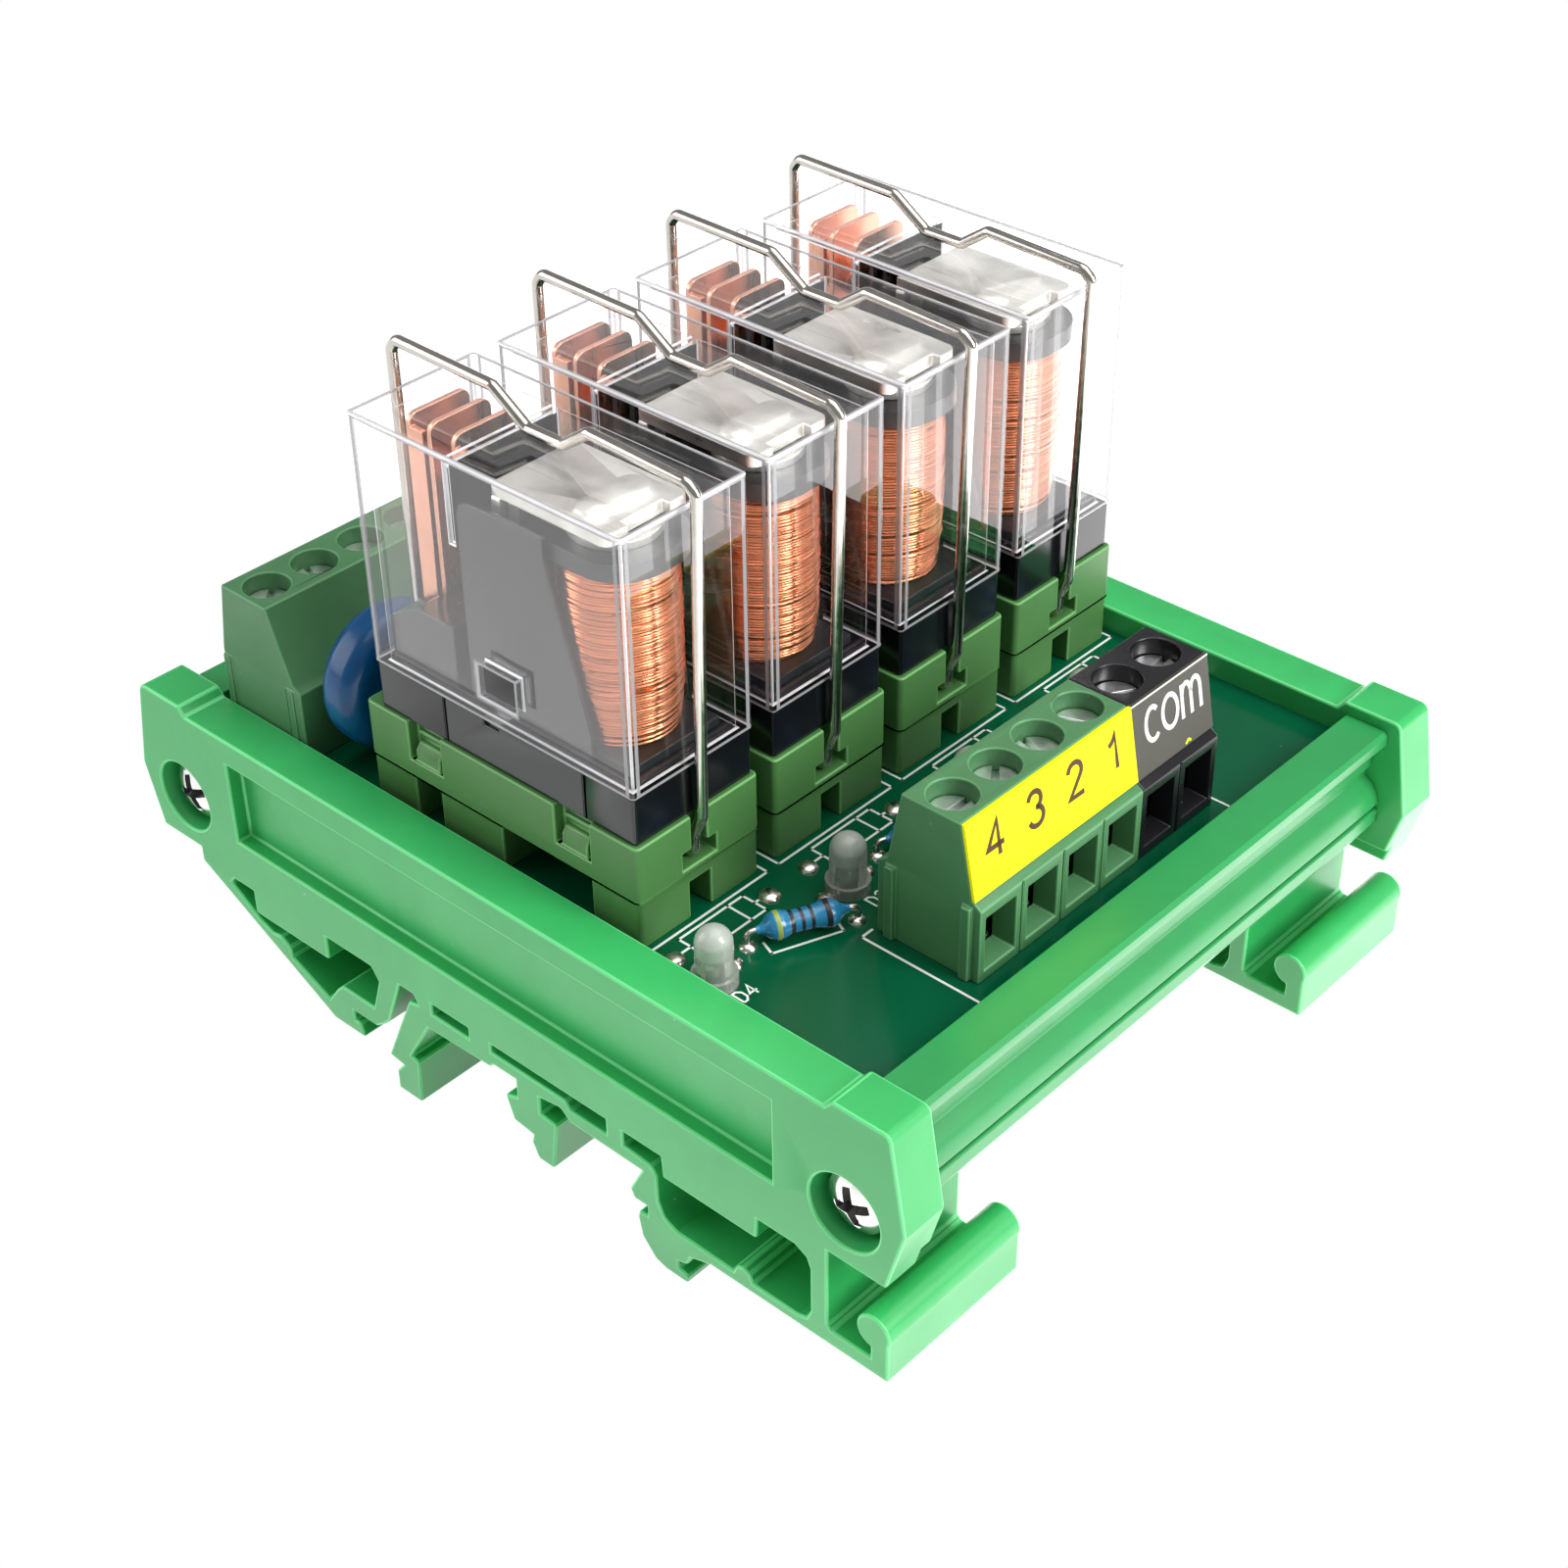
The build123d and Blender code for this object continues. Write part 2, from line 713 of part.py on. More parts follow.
    with BuildPart() as coil_bobbin:
        with Locations((cx, coil_y, (seat_z + coil_low) / 2)):
            Box(flange_width, flange_length, coil_low - seat_z)
        with BuildSketch(Plane.XY.offset(coil_high)) as flange_shape:
            with Locations((cx, coil_y)):
                Rectangle(flange_width, flange_length)
            fillet(flange_shape.vertices().group_by(Axis.Y)[0], flange_round)
        extrude(amount=flange_high - coil_high)
        with Locations((cx, coil_y, (seat_z + flange_high) / 2)):
            Cylinder(core_radius + 0.8, flange_high - seat_z)
            Cylinder(core_radius + 0.05, flange_high - seat_z, mode=Mode.SUBTRACT)
    save(coil_bobbin.part, "coil_bobbin_" + n)

    with BuildPart() as coil_winding:
        with Locations((cx, coil_y, (coil_low + coil_high) / 2)):
            Cylinder(coil_radius, coil_high - coil_low - 0.04)
            Cylinder(core_radius + 0.82, coil_high - coil_low, mode=Mode.SUBTRACT)
    save(coil_winding.part, "coil_winding_" + n)

    with BuildPart() as relay_yoke:
        with Locations((cx, (yoke_front + yoke_back) / 2, (yoke_low + yoke_top) / 2)):
            Box(2 * yoke_half, yoke_back - yoke_front, yoke_top - yoke_low)
        with Locations((cx, (coil_y - pole_radius + yoke_back) / 2, yoke_low + yoke_foot / 2)):
            Box(2 * yoke_half, yoke_back - coil_y + pole_radius, yoke_foot)
        with Locations((cx, coil_y, (seat_z - 0.4 + pole_top) / 2)):
            Cylinder(core_radius, pole_top - seat_z + 0.4)
        with Locations((cx, coil_y, (flange_high + 0.02 + pole_top) / 2)):
            Cylinder(pole_radius, pole_top - flange_high - 0.02)
    save(relay_yoke.part, "relay_yoke_" + n)

    with BuildPart() as relay_armature:
        with BuildSketch(Plane.XY.offset(armature_low)) as plate_shape:
            with Locations((cx, (plate_front + tail_back) / 2)):
                Rectangle(2 * armature_half, tail_back - plate_front)
            with Locations((cx, plate_front)):
                Rectangle(2 * nose_half, 2 * nose_depth, mode=Mode.SUBTRACT)
            outer = plate_shape.vertices().group_by(Axis.Y)[0].sort_by(Axis.X)
            fillet((outer[0], outer[-1]), armature_corner)
        extrude(amount=armature_thick)
        with BuildSketch(Plane.XY.offset(armature_low + armature_thick)):
            with Locations((cx, coil_y)):
                SlotOverall(2 * pole_radius, 3.4)
        extrude(amount=boss_rise, taper=45)
        with Locations((cx, (tail_front + tail_back) / 2, (tail_low + armature_low) / 2)):
            Box(2 * tail_half, tail_back - tail_front, armature_low - tail_low)
    save(relay_armature.part, "relay_armature_" + n)

    with BuildPart() as contact_set:
        for y in leaf_ys:
            back = Plane(origin=(leaf_x, y + leaf_thick / 2, 0), x_dir=(1, 0, 0), z_dir=(0, -1, 0))
            with BuildSketch(back) as leaf:
                with Locations((0, (seat_z + leaf_top) / 2)):
                    Rectangle(leaf_width, leaf_top - seat_z)
                fillet(leaf.vertices().group_by(Axis.Y)[-1], leaf_corner)
            extrude(amount=leaf_thick)
        for y in (leaf_ys[0], leaf_ys[2]):
            with Locations((fold_x, y - leaf_flange / 2, (seat_z + flange_top_z) / 2)):
                Box(leaf_thick, leaf_flange, flange_top_z - seat_z)
        closed = (leaf_ys[1] - leaf_ys[0] - leaf_thick) / 2 - contact_gap
        reach = (leaf_ys[2] - leaf_ys[1] - leaf_thick) * 0.3
        for y, length in (
            (leaf_ys[0] + (leaf_thick + closed) / 2, closed),
            (leaf_ys[1] - (leaf_thick + closed) / 2, closed),
            (leaf_ys[1] + (leaf_thick + reach) / 2, reach),
            (leaf_ys[2] - (leaf_thick + reach) / 2, reach),
        ):
            with Locations(Location((leaf_x, y, rivet_z), (90, 0, 0))):
                Cylinder(rivet_radius, length)
    save(contact_set.part, "contact_set_" + n)


# Surge discs, lamps and resistors, one of each per channel
disc_radius = 6.5
disc_thick = 4.4
disc_y = socket_back + 3.85
disc_z = board_top + disc_radius + 0.9
lamp_dx = -5.55
lamp_y = relay_front - 6.85
lamp_radius = 1.5
lamp_height = 5.3
rim_radius = 1.85
rim_height = 1.0
pad_a = (-1.0, relay_front - 5.9)
pad_b = (7.1, relay_front - 10.1)
lead_radius = 0.4
lead_spread = 2.5
lead_offset = 0.9
lead_height = 3.2
resistor_z = board_top + 1.45
resistor_length = 6.3
for k in range(channels):
    cx = channel_x(k)
    n = str(k + 1)
    with BuildPart() as varistor:
        with Locations(Location((cx - 0.7, disc_y, disc_z), (90, 0, 0))):
            Cylinder(disc_radius, disc_thick)
        fillet(varistor.edges().filter_by(GeomType.CIRCLE), 1.6)
        for dx, dy in ((-lead_spread, -lead_offset), (lead_spread, lead_offset)):
            with Locations((cx - 0.7 + dx, disc_y + dy, board_top + lead_height / 2)):
                Cylinder(lead_radius, lead_height)
    save(varistor.part, "varistor_" + n)

    with BuildPart() as indicator_led:
        with Locations((cx + lamp_dx, lamp_y, board_top + rim_height / 2)):
            Cylinder(rim_radius, rim_height)
        with Locations((cx + lamp_dx, lamp_y, board_top + (lamp_height - lamp_radius) / 2)):
            Cylinder(lamp_radius, lamp_height - lamp_radius)
        with Locations((cx + lamp_dx, lamp_y, board_top + lamp_height - lamp_radius)):
            Sphere(lamp_radius)
    save(indicator_led.part, "indicator_led_" + n)

    ax = cx + pad_a[0]
    bx = cx + pad_b[0]
    span = hypot(bx - ax, pad_b[1] - pad_a[1])
    turn = degrees(atan2(pad_b[1] - pad_a[1], bx - ax))
    along = Plane(
        origin=((ax + bx) / 2, (pad_a[1] + pad_b[1]) / 2, resistor_z),
        x_dir=(cos(radians(turn)), sin(radians(turn)), 0),
        z_dir=(sin(radians(turn)), -cos(radians(turn)), 0),
    )
    with BuildPart() as resistor:
        half = resistor_length / 2
        with BuildSketch(along):
            with BuildLine():
                Polyline(
                    (-half, 0),
                    (-half, 0.35),
                    (-half + 0.45, 1.05),
                    (-half + 1.1, 1.2),
                    (-half + 1.8, 1.1),
                    (-half + 2.1, 0.92),
                    (half - 2.1, 0.92),
                    (half - 1.8, 1.1),
                    (half - 1.1, 1.2),
                    (half - 0.45, 1.05),
                    (half, 0.35),
                    (half, 0),
                    close=True,
                )
            make_face()
        revolve(axis=Axis(along.origin, along.x_dir))
        with BuildLine():
            lead = [(-span / 2, -1.45), (-span / 2, 0), (span / 2, 0), (span / 2, -1.45)]
            FilletPolyline(*[along.from_local_coords((u, v, 0)) for u, v in lead], radius=0.7)
        with BuildSketch(Plane(origin=along.from_local_coords((-span / 2, -1.45, 0)), z_dir=(0, 0, 1))):
            Circle(0.3)
        sweep()
    save(resistor.part, "resistor_" + n)


# Screw terminals
block_rows = (
    ("input", input_first_x, input_poles, input_mid_y, -1),
    ("common", input_first_x + input_poles * pole_pitch, common_poles, input_mid_y, -1),
    ("output", -(output_poles - 1) / 2 * pole_pitch, output_poles, output_mid_y, 1),
)
feet = {
    "input": (input_foot_front, input_foot_back, knee_step),
    "common": (input_foot_front, input_foot_back, knee_step),
    "output": (output_foot_front, output_foot_back, 0),
}
end_ribs = {"input": 0.4, "common": 0, "output": end_gap - 0.02}
chamber_width = window_width - 0.3
chamber_height = window_height - 0.3
chamber_low = board_top + window_low
clamp_play = 0.1
clamp_width = chamber_width - clamp_play
clamp_height = chamber_height - clamp_play
clamp_depth = 4.0
clamp_wall = 0.6
top_half = block_top_depth / 2
chamber_depth = window_depth - funnel_depth
chamber_mid_z = chamber_low + chamber_height / 2
window_mid_z = chamber_low + window_height / 2
clamp_slot = clamp_width - 2 * clamp_wall


def pole_places():
    places = []
    for row, first, count, mid, way in block_rows:
        for i in range(count):
            places.append((row, first + i * pole_pitch, mid, way))
    return places


def entry_face(row, mid, way):
    front, back, _ = feet[row]
    return mid + back if way > 0 else mid - front


for row, first, count, mid, way in block_rows:
    left = first - pole_pitch / 2
    front, back, back_step = feet[row]
    face_y = entry_face(row, mid, way)
    wall_height = block_knee - knee_drop
    with BuildPart() as terminal_block:
        with BuildSketch(Plane.YZ.offset(left)):
            with BuildLine():
                Polyline(
                    (mid - front, board_top),
                    (mid - front, knee_z - knee_drop),
                    (mid - front + knee_step, knee_z),
                    (mid - top_half, block_top_z),
                    (mid + top_half, block_top_z),
                    (mid + back - back_step, knee_z),
                    (mid + back, knee_z - knee_drop),
                    (mid + back, board_top),
                    close=True,
                )
            make_face()
        extrude(amount=count * pole_pitch)
        for i in range(count):
            px = first + i * pole_pitch
            mouth = Plane(origin=(px, face_y, window_mid_z), x_dir=(1, 0, 0), z_dir=(0, -way, 0))
            with BuildSketch(mouth):
                Rectangle(window_width, window_height)
            extrude(amount=funnel_depth, taper=funnel_slope, mode=Mode.SUBTRACT)
            chamber_y = face_y - way * (funnel_depth + chamber_depth / 2)
            with Locations((px, chamber_y, chamber_mid_z)):
                Box(chamber_width, chamber_depth, chamber_height, mode=Mode.SUBTRACT)
            with Locations((px, mid, block_top_z - well_depth / 2)):
                Cylinder(well_radius, well_depth, mode=Mode.SUBTRACT)
            with Locations((px, mid, (block_top_z + chamber_low) / 2)):
                Cylinder(1.5, block_top_z - chamber_low, mode=Mode.SUBTRACT)
            if i > 0:
                with Locations((px - pole_pitch / 2, face_y, board_top + wall_height / 2)):
                    Box(pole_groove, pole_groove, wall_height, mode=Mode.SUBTRACT)
        if end_ribs[row]:
            for y in (mid - front + 1.4 * end_rib, mid + back - back_step - end_rib / 2):
                with Locations((left, y, board_top + wall_height / 2)):
                    Box(2 * end_ribs[row], end_rib, wall_height)
    save(terminal_block.part, row + "_terminal_block")

screw_head = well_radius - 0.12
head_thick = 1.6
screw_slot = 0.55
slot_drop = 0.5
with BuildPart() as terminal_screws:
    for i, (row, px, mid, way) in enumerate(pole_places()):
        low = block_top_z - well_depth
        with Locations((px, mid, low + head_thick / 2)):
            Cylinder(screw_head, head_thick)
        with Locations((px, mid, low - 1.2)):
            Cylinder(1.3, 2.4)
        with Locations(Location((px, mid, low + head_thick - slot_drop / 2), (0, 0, (37 * i) % 180))):
            Box(2 * screw_head + 0.4, screw_slot, slot_drop, mode=Mode.SUBTRACT)
save(terminal_screws.part, "terminal_screws")

with BuildPart() as terminal_clamps:
    for row, px, mid, way in pole_places():
        y = entry_face(row, mid, way) - way * (funnel_depth + clamp_play + clamp_depth / 2)
        with Locations((px, y, chamber_low + clamp_height / 2)):
            Box(clamp_width, clamp_depth, clamp_height)
            Box(clamp_slot, clamp_depth, clamp_height - 2 * clamp_wall, mode=Mode.SUBTRACT)
save(terminal_clamps.part, "terminal_clamps")


# Marker strips on the slanted face of the input row
slant_top_y = input_mid_y - top_half
slant_low_y = input_mid_y - input_foot_front + knee_step
strip_play = 0.03
strips = (
    ("marker_strip_yellow", input_first_x - pole_pitch / 2, input_poles * pole_pitch),
    ("marker_strip_grey", input_first_x + (input_poles - 0.5) * pole_pitch, common_poles * pole_pitch),
)
for name, left, length in strips:
    with BuildPart() as marker_strip:
        with BuildSketch(Plane.YZ.offset(left)):
            with BuildLine():
                Polyline(
                    (slant_top_y - strip_play, block_top_z),
                    (slant_top_y - strip_play - strip_thickness, block_top_z),
                    (slant_low_y - strip_play - strip_thickness, knee_z),
                    (slant_low_y - strip_play, knee_z),
                    close=True,
                )
            make_face()
        extrude(amount=length)
    save(marker_strip.part, name)
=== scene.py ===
"""Dresses a packed four channel relay module: its rail carrier, board, relays, terminals and studio."""

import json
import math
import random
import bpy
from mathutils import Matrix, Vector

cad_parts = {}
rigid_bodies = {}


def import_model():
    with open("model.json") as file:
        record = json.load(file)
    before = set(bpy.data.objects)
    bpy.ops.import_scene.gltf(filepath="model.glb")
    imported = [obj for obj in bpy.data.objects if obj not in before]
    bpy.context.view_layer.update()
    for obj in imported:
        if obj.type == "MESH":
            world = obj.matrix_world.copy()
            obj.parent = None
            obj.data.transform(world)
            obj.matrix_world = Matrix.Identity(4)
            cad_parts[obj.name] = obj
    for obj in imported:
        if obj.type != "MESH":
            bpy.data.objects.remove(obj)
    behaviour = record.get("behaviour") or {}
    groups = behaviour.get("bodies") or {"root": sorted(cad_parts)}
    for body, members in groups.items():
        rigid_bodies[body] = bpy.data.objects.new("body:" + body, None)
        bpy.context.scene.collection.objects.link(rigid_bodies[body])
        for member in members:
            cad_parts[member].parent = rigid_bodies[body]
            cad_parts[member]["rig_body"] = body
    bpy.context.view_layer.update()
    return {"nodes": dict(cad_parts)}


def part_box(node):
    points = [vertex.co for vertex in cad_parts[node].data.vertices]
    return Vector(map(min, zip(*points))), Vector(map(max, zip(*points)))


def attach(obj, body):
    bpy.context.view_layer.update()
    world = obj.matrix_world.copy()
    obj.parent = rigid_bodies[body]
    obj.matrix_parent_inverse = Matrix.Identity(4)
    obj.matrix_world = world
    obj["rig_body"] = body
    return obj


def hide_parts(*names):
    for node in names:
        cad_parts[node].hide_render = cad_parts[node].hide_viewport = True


bl_info = {
    "name": "Relay Module Board",
    "version": (1, 0, 0),
    "blender": (4, 5, 0),
    "location": "3D Viewport > Sidebar > Relay Board",
    "description": "Finishes a four channel relay module on a rail carrier around its packed frame",
    "category": "Object",
}

import bmesh
import bpy
from bpy.props import FloatProperty, FloatVectorProperty, IntProperty, PointerProperty
from bpy.types import Operator, Panel, PropertyGroup
from mathutils import Matrix, Vector, noise

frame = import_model()

MM = 0.001
MERGE = 0.002 * MM
FLAT_ANGLE = math.radians(0.6)
CHANNELS = (1, 2, 3, 4)
MODULE = "module"
BOARD_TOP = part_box("circuit_board")[1].z
LEGEND_INK = 0.025 * MM
LABEL_INK = 0.03 * MM
LABEL_LIFT = 0.015 * MM


def numbered(name, channel):
    return name + "_" + str(channel)


def middle(node):
    low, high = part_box(node)
    return (low + high) / 2


def channel_x(channel):
    return middle(numbered("relay_cover", channel)).x


# Settings


class CarrierSettings(PropertyGroup):
    colour: FloatVectorProperty(
        name="Carrier colour",
        description="Green of the profile and the end plates",
        subtype="COLOR",
        default=(0.036, 0.445, 0.118),
    )
    rounding: FloatProperty(
        name="Edge rounding",
        description="Radius of the moulded edges of the end plates",
        default=0.22 * MM,
        unit="LENGTH",
    )


class BoardSettings(PropertyGroup):
    mask: FloatVectorProperty(
        name="Solder mask",
        description="Colour of the lacquer on the board",
        subtype="COLOR",
        default=(0.0012, 0.092, 0.036),
    )
    line: FloatProperty(
        name="Legend line",
        description="Width of the white printed lines",
        default=0.22 * MM,
        unit="LENGTH",
    )
    pad: FloatProperty(
        name="Solder dome",
        description="Radius of the solder dome on a pad",
        default=1.0 * MM,
        unit="LENGTH",
    )


class RelaySettings(PropertyGroup):
    copper: FloatVectorProperty(
        name="Winding copper",
        description="Colour of the enamelled wire of the coils",
        subtype="COLOR",
        default=(0.64, 0.225, 0.105),
    )
    wire_pitch: FloatProperty(
        name="Wire pitch",
        description="Height of one turn of the winding",
        default=0.245 * MM,
        unit="LENGTH",
    )
    seed: IntProperty(
        name="Winding seed",
        description="Start of the random unevenness of the turns",
        default=7,
    )


class TerminalSettings(PropertyGroup):
    plastic: FloatVectorProperty(
        name="Terminal green",
        description="Colour of the green terminal housings",
        subtype="COLOR",
        default=(0.060, 0.200, 0.076),
    )
    digit_height: FloatProperty(
        name="Digit height",
        description="Height of the digits on the yellow strip",
        default=3.1 * MM,
        unit="LENGTH",
    )


class StudioSettings(PropertyGroup):
    lens: FloatProperty(
        name="Focal length",
        description="Focal length of the camera on a 36 mm sensor, in millimetres",
        default=60.6,
    )
    key_power: FloatProperty(
        name="Key light",
        description="Power of the large soft light in front",
        default=3.8,
        unit="POWER",
    )
    table_glare: FloatProperty(
        name="Table glare",
        description="Brightness of the table in reflections, on the side of the key light",
        default=3.4,
    )


class RelayBoardSettings(PropertyGroup):
    carrier: PointerProperty(type=CarrierSettings)
    board: PointerProperty(type=BoardSettings)
    relay: PointerProperty(type=RelaySettings)
    terminal: PointerProperty(type=TerminalSettings)
    studio: PointerProperty(type=StudioSettings)


# Shader groups


def feed(tree, socket, value):
    """Links the value to the socket where it is a socket too, and sets it otherwise."""
    if isinstance(value, bpy.types.NodeSocket):
        tree.links.new(value, socket)
    else:
        socket.default_value = value


def put(tree, kind, inputs=None, **settings):
    """Adds a shader node, sets its fields, and sets or links its inputs."""
    made = tree.nodes.new(kind)
    for name, value in settings.items():
        setattr(made, name, value)
    for name, value in (inputs or {}).items():
        feed(tree, made.inputs[name], value)
    return made


def open_group(name, inputs, outputs):
    """Starts a shader group, and returns its tree, its input node and its output node."""
    tree = bpy.data.node_groups.new(name, "ShaderNodeTree")
    for label, kind, value in inputs:
        socket = tree.interface.new_socket(name=label, in_out="INPUT", socket_type="NodeSocket" + kind)
        socket.default_value = value
    for label, kind in outputs:
        tree.interface.new_socket(name=label, in_out="OUTPUT", socket_type="NodeSocket" + kind)
    return tree, tree.nodes.new("NodeGroupInput"), tree.nodes.new("NodeGroupOutput")


def close_group(tree, out, **sockets):
    for name, socket in sockets.items():
        tree.links.new(socket, out.inputs[name])
    return tree


def noise_at(tree, place, scale, detail=3.0, roughness=0.55, distortion=0.0):
    return put(
        tree,
        "ShaderNodeTexNoise",
        {"Vector": place, "Scale": scale, "Detail": detail, "Roughness": roughness, "Distortion": distortion},
    ).outputs["Fac"]


def maths(tree, operation, first, second, clamp=False):
    made = put(tree, "ShaderNodeMath", operation=operation, use_clamp=clamp)
    for socket, value in zip(made.inputs, (first, second)):
        feed(tree, socket, value)
    return made.outputs[0]


def blend_colour(tree, share, first, second):
    made = put(tree, "ShaderNodeMix", data_type="RGBA")
    for socket, value in zip((made.inputs[0], made.inputs[6], made.inputs[7]), (share, first, second)):
        feed(tree, socket, value)
    return made.outputs[2]


def spread(tree, value, low, high, start=0.3, end=0.7):
    """Takes the part of a value between start and end to low and high."""
    return put(
        tree,
        "ShaderNodeMapRange",
        {"Value": value, "From Min": start, "From Max": end, "To Min": low, "To Max": high},
    ).outputs["Result"]


def moulded_plastic_group():
    """Slow colour drift, flow mottle, fine grain and a few pale specks of dust on moulded plastic."""
    tree, given, out = open_group(
        "Moulded Plastic",
        [
            ("Colour", "Color", (0.1, 0.5, 0.2, 1)),
            ("Shade", "Color", (0.05, 0.4, 0.1, 1)),
            ("Flow Scale", "Float", 120.0),
            ("Grain Scale", "Float", 3500.0),
            ("Roughness", "Float", 0.35),
            ("Roughness Spread", "Float", 0.1),
            ("Dust", "Float", 0.2),
        ],
        [("Colour", "Color"), ("Roughness", "Float"), ("Height", "Float")],
    )
    place = put(tree, "ShaderNodeTexCoord").outputs["Object"]
    flow = noise_at(tree, place, given.outputs["Flow Scale"], 4.0, 0.6, 0.8)
    grain = noise_at(tree, place, given.outputs["Grain Scale"], 2.0)
    colour = blend_colour(tree, spread(tree, flow, 0.0, 1.0), given.outputs["Colour"], given.outputs["Shade"])
    speck_scale, speck_core, speck_edge = 420.0, 0.035, 0.06
    patch_scale, patch_limit = 260.0, 0.66
    dust_colour = (0.75, 0.8, 0.75, 1)
    cells = put(tree, "ShaderNodeTexVoronoi", {"Vector": place, "Scale": speck_scale})
    near = spread(tree, cells.outputs["Distance"], 1.0, 0.0, speck_core, speck_edge)
    picked = maths(tree, "GREATER_THAN", noise_at(tree, place, patch_scale, 0.0), patch_limit)
    dust = maths(tree, "MULTIPLY", maths(tree, "MULTIPLY", near, picked), given.outputs["Dust"])
    colour = blend_colour(tree, dust, colour, dust_colour)
    swing = maths(tree, "MULTIPLY", maths(tree, "SUBTRACT", flow, 0.5), given.outputs["Roughness Spread"])
    rough = maths(tree, "ADD", given.outputs["Roughness"], swing)
    height = maths(tree, "ADD", maths(tree, "MULTIPLY", grain, 0.5), maths(tree, "MULTIPLY", flow, 0.5))
    return close_group(tree, out, Colour=colour, Roughness=rough, Height=height)


def worked_metal_group():
    """Drawn or stamped metal: streaks along one way, cloudy stains and fine pits."""
    tree, given, out = open_group(
        "Worked Metal",
        [
            ("Colour", "Color", (0.6, 0.6, 0.6, 1)),
            ("Stain", "Color", (0.3, 0.28, 0.25, 1)),
            ("Stretch", "Vector", (1.0, 1.0, 1.0)),
            ("Scale", "Float", 900.0),
            ("Roughness", "Float", 0.25),
            ("Stain Amount", "Float", 0.4),
        ],
        [("Colour", "Color"), ("Roughness", "Float"), ("Height", "Float")],
    )
    place = put(tree, "ShaderNodeTexCoord").outputs["Object"]
    drawn = put(tree, "ShaderNodeVectorMath", {0: place, 1: given.outputs["Stretch"]}, operation="MULTIPLY")
    streak = noise_at(tree, drawn.outputs[0], given.outputs["Scale"], 4.0)
    cloud_scale, rough_swing = 340.0, 0.35
    cloud = noise_at(tree, place, cloud_scale)
    share = maths(tree, "MULTIPLY", spread(tree, cloud, 0.0, 1.0, 0.4, 0.75), given.outputs["Stain Amount"])
    colour = blend_colour(tree, share, given.outputs["Colour"], given.outputs["Stain"])
    swing = maths(tree, "MULTIPLY", maths(tree, "SUBTRACT", streak, 0.4), rough_swing)
    rough = maths(tree, "ADD", given.outputs["Roughness"], swing, clamp=True)
    return close_group(tree, out, Colour=colour, Roughness=rough, Height=streak)


def wire_turns_group():
    """Enamelled wire: each turn has its own tone, broken along the turn by darker gaps."""
    tree, given, out = open_group(
        "Wire Turns",
        [
            ("Colour", "Color", (0.8, 0.35, 0.2, 1)),
            ("Gap", "Color", (0.25, 0.07, 0.03, 1)),
            ("Pitch", "Float", 0.00025),
            ("Roughness", "Float", 0.3),
        ],
        [("Colour", "Color"), ("Roughness", "Float")],
    )
    place = put(tree, "ShaderNodeTexCoord").outputs["Object"]
    parts = put(tree, "ShaderNodeSeparateXYZ", {0: place})
    along_scale = 160.0
    lanes = {axis: maths(tree, "MULTIPLY", parts.outputs[axis], along_scale) for axis in "XY"}
    lanes["Z"] = maths(tree, "DIVIDE", parts.outputs["Z"], given.outputs["Pitch"])
    squeezed = put(tree, "ShaderNodeCombineXYZ", lanes).outputs[0]
    tone = noise_at(tree, squeezed, 1.0, 3.0, 0.7)
    share = spread(tree, tone, 0.0, 0.75, 0.42, 0.72)
    colour = blend_colour(tree, share, given.outputs["Colour"], given.outputs["Gap"])
    rough = maths(tree, "ADD", given.outputs["Roughness"], maths(tree, "MULTIPLY", tone, 0.2))
    return close_group(tree, out, Colour=colour, Roughness=rough)


# Materials


def finish(name, group=None, values=None, bump=0.0, **plain):
    """A Principled material. The group feeds colour, roughness and bump, and the rest are plain values."""
    material = bpy.data.materials.new(name)
    material.use_nodes = True
    tree = material.node_tree
    shader = tree.nodes["Principled BSDF"]
    for label, value in plain.items():
        shader.inputs[label.replace("_", " ")].default_value = value
    if group:
        effect = tree.nodes.new("ShaderNodeGroup")
        effect.node_tree = bpy.data.node_groups[group]
        for label, value in (values or {}).items():
            effect.inputs[label].default_value = value
        tree.links.new(effect.outputs["Colour"], shader.inputs["Base Color"])
        tree.links.new(effect.outputs["Roughness"], shader.inputs["Roughness"])
        if bump:
            height = effect.outputs["Height"]
            relief = put(tree, "ShaderNodeBump", {"Height": height, "Strength": 0.6, "Distance": bump})
            tree.links.new(relief.outputs["Normal"], shader.inputs["Normal"])
    return material


def opaque(colour):
    return (*colour, 1.0)


def scaled(colour, share):
    return tuple(part * share for part in colour)


def plastic(name, colour, rough, shade=0.8, flow=120.0, dust=0.1, bump=0.01 * MM, swing=0.1, **plain):
    values = {
        "Colour": opaque(colour),
        "Shade": opaque(scaled(colour, shade)),
        "Flow Scale": flow,
        "Grain Scale": 3500.0,
        "Roughness": rough,
        "Roughness Spread": swing,
        "Dust": dust,
    }
    return finish(name, "Moulded Plastic", values, bump, **plain)


def metal(name, colour, stain, rough, stretch=(1, 1, 1), scale=900.0, amount=0.4, bump=0.004 * MM, **plain):
    values = {
        "Colour": opaque(colour),
        "Stain": opaque(stain),
        "Stretch": stretch,
        "Scale": scale,
        "Roughness": rough,
        "Stain Amount": amount,
    }
    return finish(name, "Worked Metal", values, bump, Metallic=1.0, **plain)


